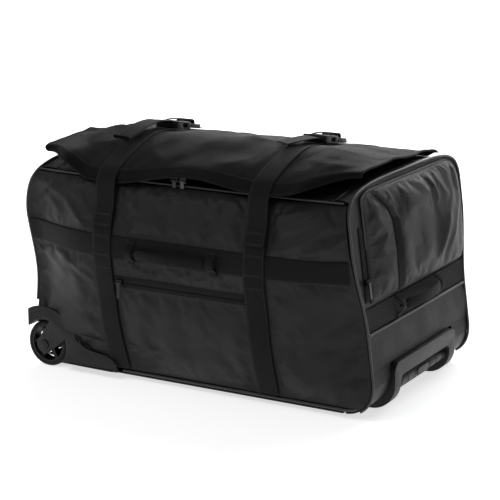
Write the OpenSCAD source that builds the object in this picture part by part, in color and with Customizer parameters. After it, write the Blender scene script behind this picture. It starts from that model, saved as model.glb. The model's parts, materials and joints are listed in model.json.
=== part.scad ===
// Rolling duffel bag: soft panelled body on a moulded base, two wheels at the -X end,
// a two stage telescopic handle at the +X end, a zipped lid under a strapped storm flap.
// Millimetres, +Z up, origin on the ground below the middle of the bag.

/* [Body] */
// Height at which the side panels start, just above the base tray
side_bottom = 20; // [16:1:30]
// Height of the top edge of the side panels
side_top = 372; // [350:1:390]
// Half depth of the bag along its base
base_half = 207; // [200:1:215]
// How far the end panels widen towards the top, each side
end_flare = 25; // [10:1:30]
// How far the long sides belly out at mid height
side_belly = 45; // [20:1:50]
// Distance from the middle to the handle end, near the base
handle_end = 345; // [335:1:355]
// How far the handle end leans inwards over its height
end_lean = 45; // [30:1:55]
// Distance from the middle to the wheel end
wheel_end = 345; // [335:1:350]
// Thickness of the panel cloth with its foam backing
panel_t = 3; // [2:0.5:4]
// Height of the arch of the end panels above the side panels' shoulders
arch_rise = 76; // [75:1:82]

/* [Lid] */
// Half length of the lid panel between its two zip runs
lid_half = 272; // [260:1:276]
// Height of the top deck above the side panels at mid length
deck_rise = 34; // [28:1:34]
// Height of the crown of the storm flap
flap_crown = 438; // [436:1:442]
// Reach of the storm flap from the middle towards the wheels
flap_wheel_end = 314; // [300:1:320]
// Reach of the storm flap from the middle towards the handle
flap_handle_end = 298; // [290:1:299]
// Distance of the lid's fold line behind the middle
fold_y = 205; // [203:1:207]

/* [Webbing] */
// Width of the compression straps
strap_w = 40; // [30:1:45]
// Distance of each compression strap from the middle
strap_x = 152; // [140:1:160]
// Thickness of the webbing
web_t = 1.5; // [1:0.1:2]
// Lower edge of the webbing band round the bag
band_low = 241; // [230:1:250]
// Upper edge of the webbing band round the bag
band_high = 281; // [270:1:290]

/* [Wheels] */
// Radius of each wheel over its tyre
wheel_r = 43.7; // [40:0.1:45]
// Width of each wheel
wheel_w = 24; // [20:1:26]
// Distance of the wheel axis from the middle, towards -X
wheel_x = 316; // [312:1:318]
// Distance of each wheel's middle from the centre plane
wheel_y = 198; // [196:1:200]
// Radius of the axles
axle_r = 4; // [3:0.5:5]

/* [Handle] */
// Height of the telescopic tubes
tube_z = 40; // [38:1:42]
// Distance of each telescopic tube from the centre plane
tube_y = 85; // [80:1:90]
// Half width of the moulded handle surround
bezel_half = 130; // [125:1:135]
// Height of the moulded handle surround
bezel_top = 85; // [80:1:88]
// Length of the grip
grip_len = 202; // [190:1:204]

/* [Hidden] */

gap = 0.5;
far = 900;
shoulder_z = 320;
arch_power = 4.25;
arch_top = shoulder_z + arch_rise - 3;
lean_start = 70;
corner_r = 50;
deck_half = 228;
end_rise = 21;
belly_reach = 320;
belly_flat = 135;
deck_base = side_top;
rim_x = 294;
zip_w = 8;
seam_z = 151;
web_lift = gap;
strap_lift = web_lift + web_t + gap;
upper_lift = strap_lift + web_t + gap;
round_steps = 96;
tyre_t = 8;
fender_in = wheel_r + 4;
foot_end = -156;
foot_top = 43;
fender_out = wheel_r + 30;
edge_r = fender_out + 4;
housing_out = 220;
housing_t = 4;
well_in = 178;
well_x = 262;
tray_z = 9;
tray_t = 3;
bezel_out = 352;
bezel_back = 292;
bezel_wall = 318;
tube_outer = [24, 14];
tube_middle = [21, 11];
tube_inner = [18.2, 8.2];
tube_start = -238;
socket_y = -50;
buckle_tilt = 10;
pull_w = 7;
pull_t = 1.5;
pin_r = 1;
pin_fit = 0.05;
long_pull = 28;
short_pull = 13;
lean = atan(end_lean / 330);

function clamp01(t) = min(max(t, 0), 1);
function ease(t) = let(s = clamp01(t)) s * s * (3 - 2 * s);

// Half depth of the end panels at height z, closing in an arch above the shoulder
function end_half(z) =
    z <= shoulder_z
        ? base_half + end_flare * ease((z - 150) / 150)
        : (base_half + end_flare)
            * pow(1 - pow(clamp01((z - shoulder_z) / arch_rise), arch_power), 1 / arch_power);

// Share of the belly at a distance x along the bag
function belly_share(x) = 1 - pow(clamp01((abs(x) - belly_flat) / (belly_reach - belly_flat)), 1.6);

// Half depth of the long sides at x and z
function side(x, z) =
    let(t = clamp01((z - side_bottom) / (side_top - side_bottom)))
    end_half(z) + belly_share(x) * (side_belly * sin(180 * t) + 8 * ease((z - shoulder_z) / 52));

// Outer face of the handle end and of the wheel end at height z
function handle_face(z) =
    z < corner_r + tray_z
        ? handle_end - corner_r + sqrt(max(0, pow(corner_r, 2) - pow(corner_r + tray_z - z, 2)))
        : handle_end - end_lean * max(0, z - lean_start) / 330;
function wheel_face(z) = -wheel_end + 47 * pow(max(0, z - 290) / 109, 2);

// Edge of the side panel along the wheel housing: round the fender, then down its foot
function housing_edge(z) =
    z > wheel_r + edge_r ? wheel_face(z)
    : z > 62 ? -wheel_x + sqrt(pow(edge_r, 2) - pow(z - wheel_r, 2))
    : z > 50 ? -239 + 16 * (62 - z) / 12
    : z > 43 ? -223 + 48 * (50 - z) / 7
    : z > 36 ? -175 + 15 * (43 - z) / 7
    : -155;

// Height of the top deck, and of the storm flap above it
function deck(x, y) =
    deck_base + (end_rise + (deck_rise - end_rise) * (1 - pow(x / 300, 2))) * (1 - pow(y / deck_half, 2));
function to_end(x) = ease((abs(x) - 215) / 85);
function crown(x) = flap_crown - 22 * to_end(x) - 3 * pow(x / 300, 2);
function hem_z(x) =
    383 + 12 * cos(360 * x / (2 * strap_x)) + 14 * ease((abs(x) - 190) / 100) + 4 * ease((x - 160) / 60);
function hem_y(x) = -244 + 58 * ease((abs(x) - 235) / 65);
// Front of the flap, a share s of the way out from the crown and t of the way down
function flap_front(x, s, t, low) = [
    -110 + (hem_y(x) + 110) * s,
    max(low, crown(x) + (hem_z(x) - crown(x)) * t)
];
// Rear of the flap, falling away from the crown, less so at the ends
function flap_rear(x, y, fall) = [y, crown(x) - fall * (1 - 0.75 * to_end(x))];
function flap_path(x) = [
    [fold_y - 4, deck(min(abs(x), 300), fold_y - 4) + 5 + 9 * ease((abs(x) - 260) / 35)],
    flap_rear(x, 165, 41),
    flap_rear(x, 120, 33),
    flap_rear(x, 40, 19),
    flap_rear(x, -40, 5),
    flap_rear(x, -110, 0),
    flap_front(x, 0.41, 0.25, 0),
    flap_front(x, 0.82, 0.62, 400),
    flap_front(x, 0.948, 0.85, 389),
    flap_front(x, 1, 1, 0)
];

// Closed sheet between two grids of points, nu by nv cells
function at(i, j, nv) = i * (nv + 1) + j;
function sheet_faces(nu, nv) =
    let(n = (nu + 1) * (nv + 1))
    concat(
        [for (i = [0 : nu - 1], j = [0 : nv - 1])
            each [[at(i, j, nv), at(i + 1, j + 1, nv), at(i + 1, j, nv)],
                [at(i, j, nv), at(i, j + 1, nv), at(i + 1, j + 1, nv)]]],
        [for (i = [0 : nu - 1], j = [0 : nv - 1])
            each [[n + at(i, j, nv), n + at(i + 1, j, nv), n + at(i + 1, j + 1, nv)],
                [n + at(i, j, nv), n + at(i + 1, j + 1, nv), n + at(i, j + 1, nv)]]],
        [for (i = [0 : nu - 1])
            each [[at(i, 0, nv), at(i + 1, 0, nv), n + at(i + 1, 0, nv)],
                [at(i, 0, nv), n + at(i + 1, 0, nv), n + at(i, 0, nv)]]],
        [for (i = [0 : nu - 1])
            each [[at(i, nv, nv), n + at(i + 1, nv, nv), at(i + 1, nv, nv)],
                [at(i, nv, nv), n + at(i, nv, nv), n + at(i + 1, nv, nv)]]],
        [for (j = [0 : nv - 1])
            each [[at(0, j, nv), n + at(0, j + 1, nv), at(0, j + 1, nv)],
                [at(0, j, nv), n + at(0, j, nv), n + at(0, j + 1, nv)]]],
        [for (j = [0 : nv - 1])
            each [[at(nu, j, nv), at(nu, j + 1, nv), n + at(nu, j + 1, nv)],
                [at(nu, j, nv), n + at(nu, j + 1, nv), n + at(nu, j, nv)]]]
    );
module sheet(outer, inner, nu, nv) {
    polyhedron(points = concat(outer, inner), faces = sheet_faces(nu, nv), convexity = 6);
}

// Patch of the front side between two edges, standing lift to lift + t off its surface
function side_points(lo, hi, z0, z1, lift, nx, nz) = [
    for (i = [0 : nx], j = [0 : nz])
        let(z = z0 + (z1 - z0) * j / nz, x = lo(z) + (hi(z) - lo(z)) * i / nx)
        [x, -side(x, z) - lift, z]
];
module side_patch(lo, hi, z0, z1, lift, t, nx, nz) {
    sheet(
        side_points(lo, hi, z0, z1, lift + t, nx, nz),
        side_points(lo, hi, z0, z1, lift, nx, nz),
        nx, nz
    );
}

// Patch of an end, between half widths that may depend on z; dir is 1 at the handle end
function end_points(face, lo, hi, z0, z1, lift, ny, nz) = [
    for (i = [0 : ny], j = [0 : nz])
        let(z = z0 + (z1 - z0) * j / nz)
        [face(z) + lift, lo(z) + (hi(z) - lo(z)) * i / ny, z]
];
module end_patch(lo, hi, z0, z1, lift, t, ny, nz) {
    face = function(z) handle_face(z);
    sheet(
        end_points(face, lo, hi, z0, z1, lift + t, ny, nz),
        end_points(face, lo, hi, z0, z1, lift, ny, nz),
        ny, nz
    );
}
module wheel_end_patch(half, z0, z1, t, ny, nz) {
    face = function(z) -wheel_face(z);
    lo = function(z) -half(z);
    mirror([1, 0, 0])
        sheet(
            end_points(face, lo, half, z0, z1, 0, ny, nz),
            end_points(face, lo, half, z0, z1, -t, ny, nz),
            ny, nz
        );
}

// Patch of the top deck
function deck_points(x0, x1, y0, y1, lift, nx, ny) = [
    for (i = [0 : nx], j = [0 : ny])
        let(x = x0 + (x1 - x0) * i / nx, y = y0 + (y1 - y0) * j / ny)
        [x, y, deck(x, y) + lift]
];
module deck_patch(x0, x1, y0, y1, lift, t, nx, ny) {
    sheet(
        deck_points(x0, x1, y0, y1, lift + t, nx, ny),
        deck_points(x0, x1, y0, y1, lift, nx, ny),
        nx, ny
    );
}

// Round cord along a path, eight sided; up is a direction the path never runs along
function unit(v) = v / norm(v);
function tangent(p, i) = unit(p[min(i + 1, len(p) - 1)] - p[max(i - 1, 0)]);
function cord_ring(p, i, r, up) =
    let(t = tangent(p, i), a = unit(cross(t, up)), b = cross(t, a))
    [for (k = [0 : 7]) p[i] + r * (cos(45 * k) * a + sin(45 * k) * b)];
module cord(p, r, up) {
    n = len(p);
    polyhedron(
        points = [for (i = [0 : n - 1]) each cord_ring(p, i, r, up)],
        faces = concat(
            [[for (k = [0 : 7]) k]],
            [[for (k = [7 : -1 : 0]) 8 * (n - 1) + k]],
            [for (i = [0 : n - 2], k = [0 : 7])
                each [[8 * i + k, 8 * i + 8 + k, 8 * i + (k + 1) % 8],
                    [8 * i + (k + 1) % 8, 8 * i + 8 + k, 8 * i + 8 + (k + 1) % 8]]]
        ),
        convexity = 6
    );
}

// Outline of a webbing strip of thickness t above a path of [y, z] points
function strip_normal(p, i) =
    let(d = p[min(i + 1, len(p) - 1)] - p[max(i - 1, 0)]) [-d[1], d[0]] / norm(d);
function strip(p, t) = concat(
    p,
    [for (i = [len(p) - 1 : -1 : 0]) p[i] + t * strip_normal(p, i)]
);
// Solid of width w across X from an outline in Y and Z, centred at x
module across(x, w) {
    translate([x - w / 2, 0, 0])
        rotate([90, 0, 90])
            linear_extrude(w) children();
}
// Solid of width w across Y from an outline in X and Z, starting at y
module along_y(y, w) {
    translate([0, y + w, 0])
        rotate([90, 0, 0])
            linear_extrude(w) children();
}
module mirror_y() {
    children();
    mirror([0, 1, 0]) children();
}

// ---- body panels

module base_tray() {
    color("#1b1c1e") {
        difference() {
            translate([-well_x + 1, -base_half + 3, tray_z])
                cube([bezel_back + well_x - 2, 2 * base_half - 6, tray_t]);
            mirror_y()
                translate([-far, well_in - 3, 0])
                    cube([far - well_x + 4, far, 40]);
        }
        translate([-wheel_end + 5, -well_in + 4, tray_z])
            cube([wheel_end - well_x - 4 + gap, 2 * well_in - 8, tray_t]);
        mirror_y()
            along_y(bezel_half + 1, base_half - bezel_half - 4)
                translate([handle_end - corner_r, tray_z + corner_r])
                    intersection() {
                        difference() {
                            circle(r = corner_r - gap, $fn = round_steps);
                            circle(r = corner_r - tray_t, $fn = round_steps);
                        }
                        translate([0, -far])
                            square([far, far]);
                    }
    }
}

module front_panel() {
    color("#26272a")
        side_patch(
            function(z) housing_edge(z) + 1, function(z) handle_face(z) - 1,
            side_bottom, side_top, -panel_t, panel_t, 26, 32
        );
}
module back_panel() {
    mirror([0, 1, 0]) front_panel();
}

module wheel_end_panel() {
    inner = function(z) well_in - 4;
    outer = function(z) end_half(z) - panel_t - gap;
    color("#26272a") {
        wheel_end_patch(inner, tray_z + tray_t + gap, 118, panel_t, 8, 6);
        wheel_end_patch(outer, 118 + gap, arch_top, panel_t, 12, 16);
    }
}

module handle_end_panel() {
    lo = function(z) -end_half(z) + panel_t + gap;
    hi = function(z) end_half(z) - panel_t - gap;
    color("#26272a")
        end_patch(lo, hi, seam_z + 3, arch_top, -panel_t, panel_t, 12, 16);
}

module end_kick_panel() {
    inner = function(z) bezel_half + 1;
    lo = function(z) -base_half + panel_t + gap;
    hi = function(z) base_half - panel_t - gap;
    color("#2b2c2f") {
        mirror_y()
            end_patch(inner, hi, corner_r + tray_z + gap, bezel_top + 1, -panel_t, panel_t, 4, 3);
        end_patch(lo, hi, bezel_top + 1 + gap, seam_z - 3, -panel_t, panel_t, 12, 4);
    }
}

// Gusseted pocket standing proud of the handle end, over the band
function pocket_half(z) = 0.8 * end_half(z + 12) - 4;
function pocket_bulge(y, z) =
    14 * pow(clamp01(1 - pow(y / pocket_half(z), 4)), 0.5)
    * sin(180 * pow(clamp01((z - 199) / 186), 0.75));
module end_pocket() {
    z0 = 200;
    z1 = 380;
    ny = 14;
    nz = 12;
    grid = [for (i = [0 : ny], j = [0 : nz])
        let(z = z0 + (z1 - z0) * j / nz, y = pocket_half(z) * (2 * i / ny - 1)) [y, z]];
    outer = [for (g = grid) [handle_face(g[1]) + gap + 4 + pocket_bulge(g[0], g[1]), g[0], g[1]]];
    inner = [for (g = grid) [handle_face(g[1]) + gap, g[0], g[1]]];
    color("#2a2b2e")
        sheet(outer, inner, ny, nz);
}

module top_rim_back() {
    color("#26272a")
        deck_patch(-rim_x + 2, rim_x, fold_y + 4, deck_half - 6, 0, panel_t, 16, 3);
}
module top_rim_ends() {
    x0 = lid_half + zip_w + 2;
    color("#26272a") {
        deck_patch(x0, rim_x, -216, fold_y + 3, 0, panel_t, 2, 16);
        deck_patch(-rim_x + 4, -x0, -216, fold_y + 3, 0, panel_t, 2, 16);
    }
}
module main_zip_tape() {
    color("#17181a") {
        deck_patch(-lid_half - zip_w - 1, lid_half + zip_w + 1, -223, -219, 0, 2, 16, 1);
        deck_patch(lid_half + 1, lid_half + zip_w + 1, -218, fold_y - 6, 0, 2, 1, 16);
        deck_patch(-lid_half - zip_w - 1, -lid_half - 1, -218, fold_y - 6, 0, 2, 1, 16);
    }
}

// ---- webbing, piping and zips

module band_front() {
    lo = function(z) -wheel_end + 3;
    hi = function(z) handle_face(z) - 3;
    color("#151516")
        side_patch(lo, hi, band_low, band_high, web_lift, web_t, 26, 4);
}
module band_back() {
    mirror([0, 1, 0]) band_front();
}
module band_handle_end() {
    lo = function(z) -end_half(z) + 6;
    hi = function(z) end_half(z) - 6;
    color("#151516")
        end_patch(lo, hi, seam_z + 5, seam_z + 44, web_lift, web_t, 8, 4);
}

module lower_strap(x) {
    lo = function(z) x - strap_w / 2;
    hi = function(z) x + strap_w / 2;
    side_patch(lo, hi, side_bottom + 2, 306, strap_lift, web_t, 2, 20);
}
module back_strap(x) {
    lo = function(z) x - strap_w / 2;
    hi = function(z) x + strap_w / 2;
    side_patch(lo, hi, side_bottom + 2, side_top - 6, strap_lift, web_t, 2, 24);
}
module lower_straps() {
    color("#131314")
        difference() {
            for (x = [-strap_x, strap_x]) {
                lower_strap(x);
                mirror([0, 1, 0]) back_strap(x);
            }
            translate([-far + foot_end + 1, -far, 0])
                cube([far, 2 * far, foot_top + 2]);
        }
}

module end_seam_piping() {
    color("#303134")
        translate([handle_face(seam_z) - 1, -base_half + 4, seam_z])
            rotate([-90, 0, 0])
                cylinder(h = 2 * base_half - 8, r = 2.2, $fn = 24);
}

// Outline of an end from one lower corner, over the arch, to the other
function arch_line(face, z0, inset) = concat(
    [for (z = [z0 : 20 : 300]) [face(z), -end_half(z) + inset, z]],
    [for (a = [0 : 9 : 180])
        let(c = cos(a), s = sin(a), h = (base_half + end_flare - inset) * sign(c) * pow(abs(c), 2 / arch_power),
            z = shoulder_z + (arch_rise - inset + 3) * pow(s, 2 / arch_power))
        [face(z), -h, z]],
    [for (z = [300 : -20 : z0]) [face(z), end_half(z) - inset, z]]
);
module end_arch_piping() {
    color("#303134") {
        cord(arch_line(function(z) handle_face(z) + 3, 100, 2), 2.2, [1, 0, 0]);
        cord(arch_line(function(z) wheel_face(z) - 3, 140, 2), 2.2, [1, 0, 0]);
    }
}

module side_top_piping() {
    x0 = wheel_face(side_top) + 6;
    x1 = handle_face(side_top) - 6;
    line = [for (i = [0 : 20])
        let(x = x0 + (x1 - x0) * i / 20)
        [x, -max(side(x, side_top) + 0.8, deck_half - 2.4), side_top + 3]];
    color("#303134")
        mirror_y()
            cord(line, 2.2, [0, 0, 1]);
}
module side_base_piping() {
    x0 = -152;
    x1 = handle_end - corner_r;
    line = [for (i = [0 : 12]) let(x = x0 + (x1 - x0) * i / 12) [x, -side(x, side_bottom) + 2, side_bottom - 4]];
    color("#303134")
        mirror_y()
            cord(line, 2.6, [0, 0, 1]);
}

front_zip_z = 198;
front_zip_x = 130;
slider_x = -118;
module front_zip_tape() {
    lo = function(z) -front_zip_x;
    hi = function(z) front_zip_x;
    color("#17181a")
        side_patch(lo, hi, front_zip_z - 8, front_zip_z + 8, web_lift, 1, 18, 2);
}

// Slider body with a bridge that carries a hinge pin along X; mouth of the bridge faces -Y
slider_len = 12;
slider_h = 9;
slider_t = 4;
module slider_body() {
    translate([-slider_len / 2, -slider_t, -slider_h / 2])
        cube([slider_len, slider_t, slider_h]);
    for (x = [-slider_len / 2, slider_len / 2 - 1.6])
        translate([x, -slider_t - 3.6, -1.8])
            cube([1.6, 3.7, 3.6]);
    translate([-slider_len / 2, -slider_t - 1.8, 0])
        rotate([0, 90, 0])
            cylinder(h = slider_len, r = pin_r, $fn = 24);
}
// Puller: a tab with a round eye on that pin, hanging down
module puller(pull_len) {
    difference() {
        union() {
            translate([-pull_w / 2, -slider_t - 1.8 - pull_t / 2, -pull_len])
                cube([pull_w, pull_t, pull_len]);
            translate([-pull_w / 2, -slider_t - 1.8, 0])
                rotate([0, 90, 0])
                    cylinder(h = pull_w, r = pin_r + 0.7, $fn = 24);
        }
        translate([-pull_w, -slider_t - 1.8, 0])
            rotate([0, 90, 0])
                cylinder(h = 2 * pull_w, r = pin_r + pin_fit, $fn = 24);
    }
}
slider_clear = 1.7;
front_slider_at = [slider_x, -side(slider_x, front_zip_z) - web_lift - 1 - slider_clear, front_zip_z];
module front_zip_slider() {
    color("#0f0f10") translate(front_slider_at) slider_body();
}
module front_zip_puller() {
    color("#0f0f10") translate(front_slider_at) puller(long_pull);
}

end_zip_y = -176;
end_zip_low = 205;
end_zip_high = 330;
end_slider_z = 238;
module end_zip_tape() {
    lo = function(z) end_zip_y - 22;
    hi = function(z) end_zip_y - 8;
    color("#17181a")
        end_patch(lo, hi, end_zip_low, end_zip_high, web_lift, 1, 1, 8);
}
// Frame on the leaning handle end at height z: +X out of the end, +Z up along it
module on_end(z, lift, y) {
    translate([handle_face(z), y, z])
        rotate([0, -lean, 0])
            translate([lift, 0, 0]) children();
}
module turned_to_end() {
    on_end(end_slider_z, web_lift + 1 + gap, end_zip_y - 15)
        rotate([0, 0, 90]) children();
}
module end_zip_slider() {
    color("#0f0f10") turned_to_end() slider_body();
}
module end_zip_puller() {
    color("#0f0f10") turned_to_end() puller(long_pull);
}

main_slider_y = -side(0, side_top) + 1;
main_slider_z = side_top + 12;
module main_zip_slider_left() {
    color("#0f0f10") translate([-22, main_slider_y, main_slider_z]) slider_body();
}
module main_zip_slider_right() {
    color("#0f0f10") translate([-6, main_slider_y, main_slider_z]) slider_body();
}
module main_zip_puller_left() {
    color("#0f0f10") translate([-22, main_slider_y, main_slider_z]) puller(short_pull);
}
module main_zip_puller_right() {
    color("#0f0f10") translate([-6, main_slider_y, main_slider_z]) puller(short_pull);
}

// ---- grab handles

grab_z = 256;
grab_x0 = -84;
grab_x1 = 69;
grab_off = web_lift + web_t + 8;
grab_pin_r = 3;
grab_half_h = 9;
grab_t = 4;
loop_w = 14;
loop_h = 36;
end_grab_z = seam_z + 24;
end_grab_y = 78;
front_bow = 12;
end_bow = 16;
// Sewn loop that holds one end of a grab handle, bored for its rolled end
module grab_loop() {
    difference() {
        translate([0, -grab_t, -loop_h / 2])
            cube([loop_w, grab_t + grab_off - web_lift - web_t - 0.3, loop_h]);
        translate([-1, 0, 0])
            rotate([0, 90, 0])
                cylinder(h = loop_w + 2, r = grab_pin_r + pin_fit, $fn = 32);
    }
}
module loop_pair(l) {
    translate([-loop_w, 0, 0]) grab_loop();
    translate([l, 0, 0]) grab_loop();
}
// Webbing handle of length l between its rolled ends, bowing away from the bag
module grab_strap(l, bow) {
    n = 12;
    path = [for (i = [0 : n]) [l * i / n, -4 * bow * i / n * (1 - i / n) - grab_t / 2]];
    translate([0, 0, -grab_half_h])
        linear_extrude(2 * grab_half_h)
            polygon(strip(path, grab_t));
    for (x = [1 - loop_w, l - 0.5])
        translate([x, 0, 0])
            rotate([0, 90, 0])
                cylinder(h = loop_w - 0.5, r = grab_pin_r, $fn = 32);
}
module at_front_grab() {
    translate([grab_x0, -side(0, grab_z) - grab_off, grab_z]) children();
}
module at_end_grab() {
    on_end(end_grab_z, grab_off, -end_grab_y)
        rotate([0, 0, 90]) children();
}
module grab_anchors() {
    color("#151516") {
        at_front_grab() loop_pair(grab_x1 - grab_x0);
        at_end_grab() loop_pair(2 * end_grab_y);
    }
}
module front_grab_handle() {
    color("#151516")
        at_front_grab()
            translate([0.5, 0, 0]) grab_strap(grab_x1 - grab_x0 - 1, front_bow);
}
module end_grab_handle() {
    color("#151516")
        at_end_grab()
            translate([0.5, 0, 0]) grab_strap(2 * end_grab_y - 1, end_bow);
}

// ---- telescopic handle

module box_tube(size, wall, x0, x1) {
    translate([x0, -size[0] / 2, -size[1] / 2])
        difference() {
            cube([x1 - x0, size[0], size[1]]);
            translate([-1, wall, wall])
                cube([x1 - x0 + 2, size[0] - 2 * wall, size[1] - 2 * wall]);
        }
}
module at_tubes() {
    for (s = [-1, 1])
        translate([0, s * tube_y, tube_z]) children();
}
module outer_tubes() {
    color("#8d9094")
        at_tubes() box_tube(tube_outer, 1.2, tube_start, bezel_back + 8);
}
module middle_tubes() {
    color("#a8abae")
        at_tubes() box_tube(tube_middle, 1.1, tube_start + 6, bezel_back + 9);
}
module inner_tubes() {
    color("#b9bcbf")
        at_tubes() box_tube(tube_inner, 1, tube_start + 8, bezel_wall + 4);
}
// Block that carries the closed ends of the outer tubes, bolted to the tray
module tube_end_block() {
    color("#1a1b1d")
        difference() {
            translate([tube_start - 14, -tube_y - 20, tray_z + tray_t])
                cube([22, 2 * tube_y + 40, 40]);
            at_tubes()
                translate([tube_start, -tube_outer[0] / 2, -tube_outer[1] / 2])
                    cube([60, tube_outer[0], tube_outer[1]]);
        }
}

bezel_corner = 45;
module bezel_profile() {
    difference() {
        translate([bezel_back, 0])
            square([bezel_out - bezel_back, bezel_top]);
        difference() {
            translate([bezel_out - bezel_corner, -1])
                square([bezel_corner + 1, bezel_corner + 1]);
            translate([bezel_out - bezel_corner, bezel_corner])
                circle(r = bezel_corner, $fn = round_steps);
        }
    }
}
recess_top = 58;
recess_half = 105;
module handle_bezel() {
    color("#1d1e20")
        difference() {
            along_y(-bezel_half, 2 * bezel_half) bezel_profile();
            translate([bezel_wall, -recess_half, -1])
                cube([far, 2 * recess_half, recess_top + 1]);
            translate([bezel_back - 1, -recess_half, -1])
                cube([bezel_wall - bezel_back + 2, 2 * recess_half, 11]);
            at_tubes()
                translate([bezel_back - 1, -tube_outer[0] / 2, -tube_outer[1] / 2])
                    cube([9, tube_outer[0], tube_outer[1]]);
            at_tubes()
                translate([bezel_back - 1, -tube_middle[0] / 2 - 0.4, -tube_middle[1] / 2 - 0.4])
                    cube([40, tube_middle[0] + 0.8, tube_middle[1] + 0.8]);
        }
}

grip_h = 22;
grip_x0 = bezel_wall + 2;
grip_x1 = bezel_out - 6;
button_half = 24;
button_r = 7;
button_travel = 3;
module button_outline(r) {
    for (s = [-1, 1])
        translate([0, s * (button_half - button_r)])
            circle(r = r, $fn = 48);
    translate([-r, -button_half + button_r])
        square([2 * r, 2 * button_half - 2 * button_r]);
}
module handle_grip() {
    color("#222326")
        difference() {
            union() {
                translate([grip_x0, -grip_len / 2, tube_z - grip_h / 2])
                    cube([grip_x1 - grip_x0 - grip_h / 2, grip_len, grip_h]);
                translate([grip_x1 - grip_h / 2, -grip_len / 2, tube_z])
                    rotate([-90, 0, 0])
                        cylinder(h = grip_len, r = grip_h / 2, $fn = 64);
            }
            at_tubes()
                translate([grip_x0 - 1, -tube_inner[0] / 2, -tube_inner[1] / 2])
                    cube([3, tube_inner[0], tube_inner[1]]);
            translate([grip_x1 - 12, 0, tube_z])
                rotate([0, 90, 0])
                    linear_extrude(20) button_outline(button_r + 0.4);
        }
}
module grip_button() {
    color("#2c2d31")
        translate([grip_x1 - 12 + button_travel + gap, 0, tube_z])
            rotate([0, 90, 0])
                linear_extrude(9.5) button_outline(button_r);
}

// ---- wheels

module at_wheel() {
    translate([-wheel_x, -wheel_y, wheel_r])
        rotate([90, 0, 0]) children();
}
module tyre() {
    rotate_extrude($fn = round_steps)
        polygon([
            [wheel_r - tyre_t, -wheel_w / 2], [wheel_r - 3, -wheel_w / 2],
            [wheel_r, -wheel_w / 2 + 4], [wheel_r, wheel_w / 2 - 4],
            [wheel_r - 3, wheel_w / 2], [wheel_r - tyre_t, wheel_w / 2]
        ]);
}
spokes = 6;
module hub() {
    difference() {
        union() {
            difference() {
                cylinder(h = wheel_w - 2, r = wheel_r - tyre_t, center = true, $fn = round_steps);
                cylinder(h = wheel_w, r = wheel_r - tyre_t - 3.5, center = true, $fn = round_steps);
            }
            cylinder(h = wheel_w, r = 11, center = true, $fn = 64);
            for (i = [0 : spokes - 1])
                rotate([0, 0, 360 / spokes * i])
                    translate([9, -3.5, -7])
                        cube([wheel_r - tyre_t - 11, 7, 14]);
        }
        cylinder(h = wheel_w + 2, r = axle_r + pin_fit, center = true, $fn = 64);
    }
}
module tyre_front() {
    color("#101011") at_wheel() tyre();
}
module hub_front() {
    color("#1c1d1f") at_wheel() hub();
}
module tyre_back() {
    mirror([0, 1, 0]) tyre_front();
}
module hub_back() {
    mirror([0, 1, 0]) hub_front();
}
module wheel_axles() {
    color("#9a9da0")
        mirror_y()
            translate([-wheel_x, -housing_out + 1, wheel_r])
                rotate([-90, 0, 0])
                    cylinder(h = housing_out - well_in, r = axle_r, $fn = 48);
}
module axle_caps() {
    color("#141516")
        mirror_y()
            translate([-wheel_x, -housing_out, wheel_r])
                rotate([90, 0, 0])
                    cylinder(h = 2, r = 9, $fn = 48);
}

// Outline of the housing plate: fender over the wheel, sloping shoulder, long foot
module housing_outline() {
    difference() {
        union() {
            translate([-wheel_x, wheel_r])
                circle(r = fender_out, $fn = round_steps);
            polygon([
                [-wheel_x, 14], [foot_end, 14], [foot_end, 30], [-162, 36], [-177, foot_top], [-225, 50],
                [-243, 62], [-258, 84], [-275, 102], [-wheel_x, 116]
            ]);
        }
        translate([-far, -far])
            square([2 * far, far + 14]);
        translate([-far - 352, 0])
            square([far, far]);
        translate([-wheel_x, wheel_r])
            circle(r = fender_in, $fn = round_steps);
        polygon([[-wheel_x, wheel_r], [-356, 78], [-420, 100], [-420, 0], [-wheel_x, 0]]);
    }
}
// Arm from the housing over the wheel to the axle
module housing_arm() {
    translate([-wheel_x, wheel_r])
        rotate(47) {
            polygon([[0, -17], [fender_in + 8, -25], [fender_in + 8, 25], [0, 17]]);
            circle(r = 17, $fn = 64);
        }
}
module housing_plate(y, t) {
    along_y(y, t)
        difference() {
            union() {
                housing_outline();
                housing_arm();
            }
            translate([-wheel_x, wheel_r])
                circle(r = axle_r + pin_fit, $fn = 64);
        }
}
module wheel_housing_front() {
    color("#1f2023") {
        housing_plate(-housing_out, housing_t);
        along_y(-housing_out + housing_t - 0.01, housing_out - well_in - housing_t + 0.02)
            intersection() {
                housing_outline();
                difference() {
                    translate([-wheel_x, wheel_r])
                        circle(r = fender_in + 4, $fn = round_steps);
                    translate([-wheel_x, wheel_r])
                        circle(r = fender_in, $fn = round_steps);
                }
            }
        housing_plate(-well_in, 3);
    }
}
module wheel_housing_back() {
    mirror([0, 1, 0]) wheel_housing_front();
}

// ---- lid, flap, straps and buckles

fold_z = deck(0, fold_y) - 1;
module fold_cord() {
    color("#202124")
        translate([-lid_half, fold_y, fold_z])
            rotate([0, 90, 0])
                cylinder(h = 2 * lid_half, r = 2, $fn = 24);
}
module lid_panel() {
    color("#222326")
        deck_patch(-lid_half, lid_half, -218, fold_y - 4, 0, panel_t, 20, 14);
}
module storm_flap() {
    nx = 26;
    np = len(flap_path(0)) - 1;
    xs = [for (i = [0 : nx]) -flap_wheel_end + (flap_wheel_end + flap_handle_end) * i / nx];
    outer = [for (x = xs, j = [0 : np]) let(p = flap_path(x)[np - j]) [x, p[0], p[1]]];
    inner = [for (x = xs, j = [0 : np])
        let(q = flap_path(x), p = q[np - j] - 2 * strip_normal(q, np - j) * -1) [x, p[0], p[1]]];
    color("#1a1a1c")
        sheet(outer, inner, nx, np);
}

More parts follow.
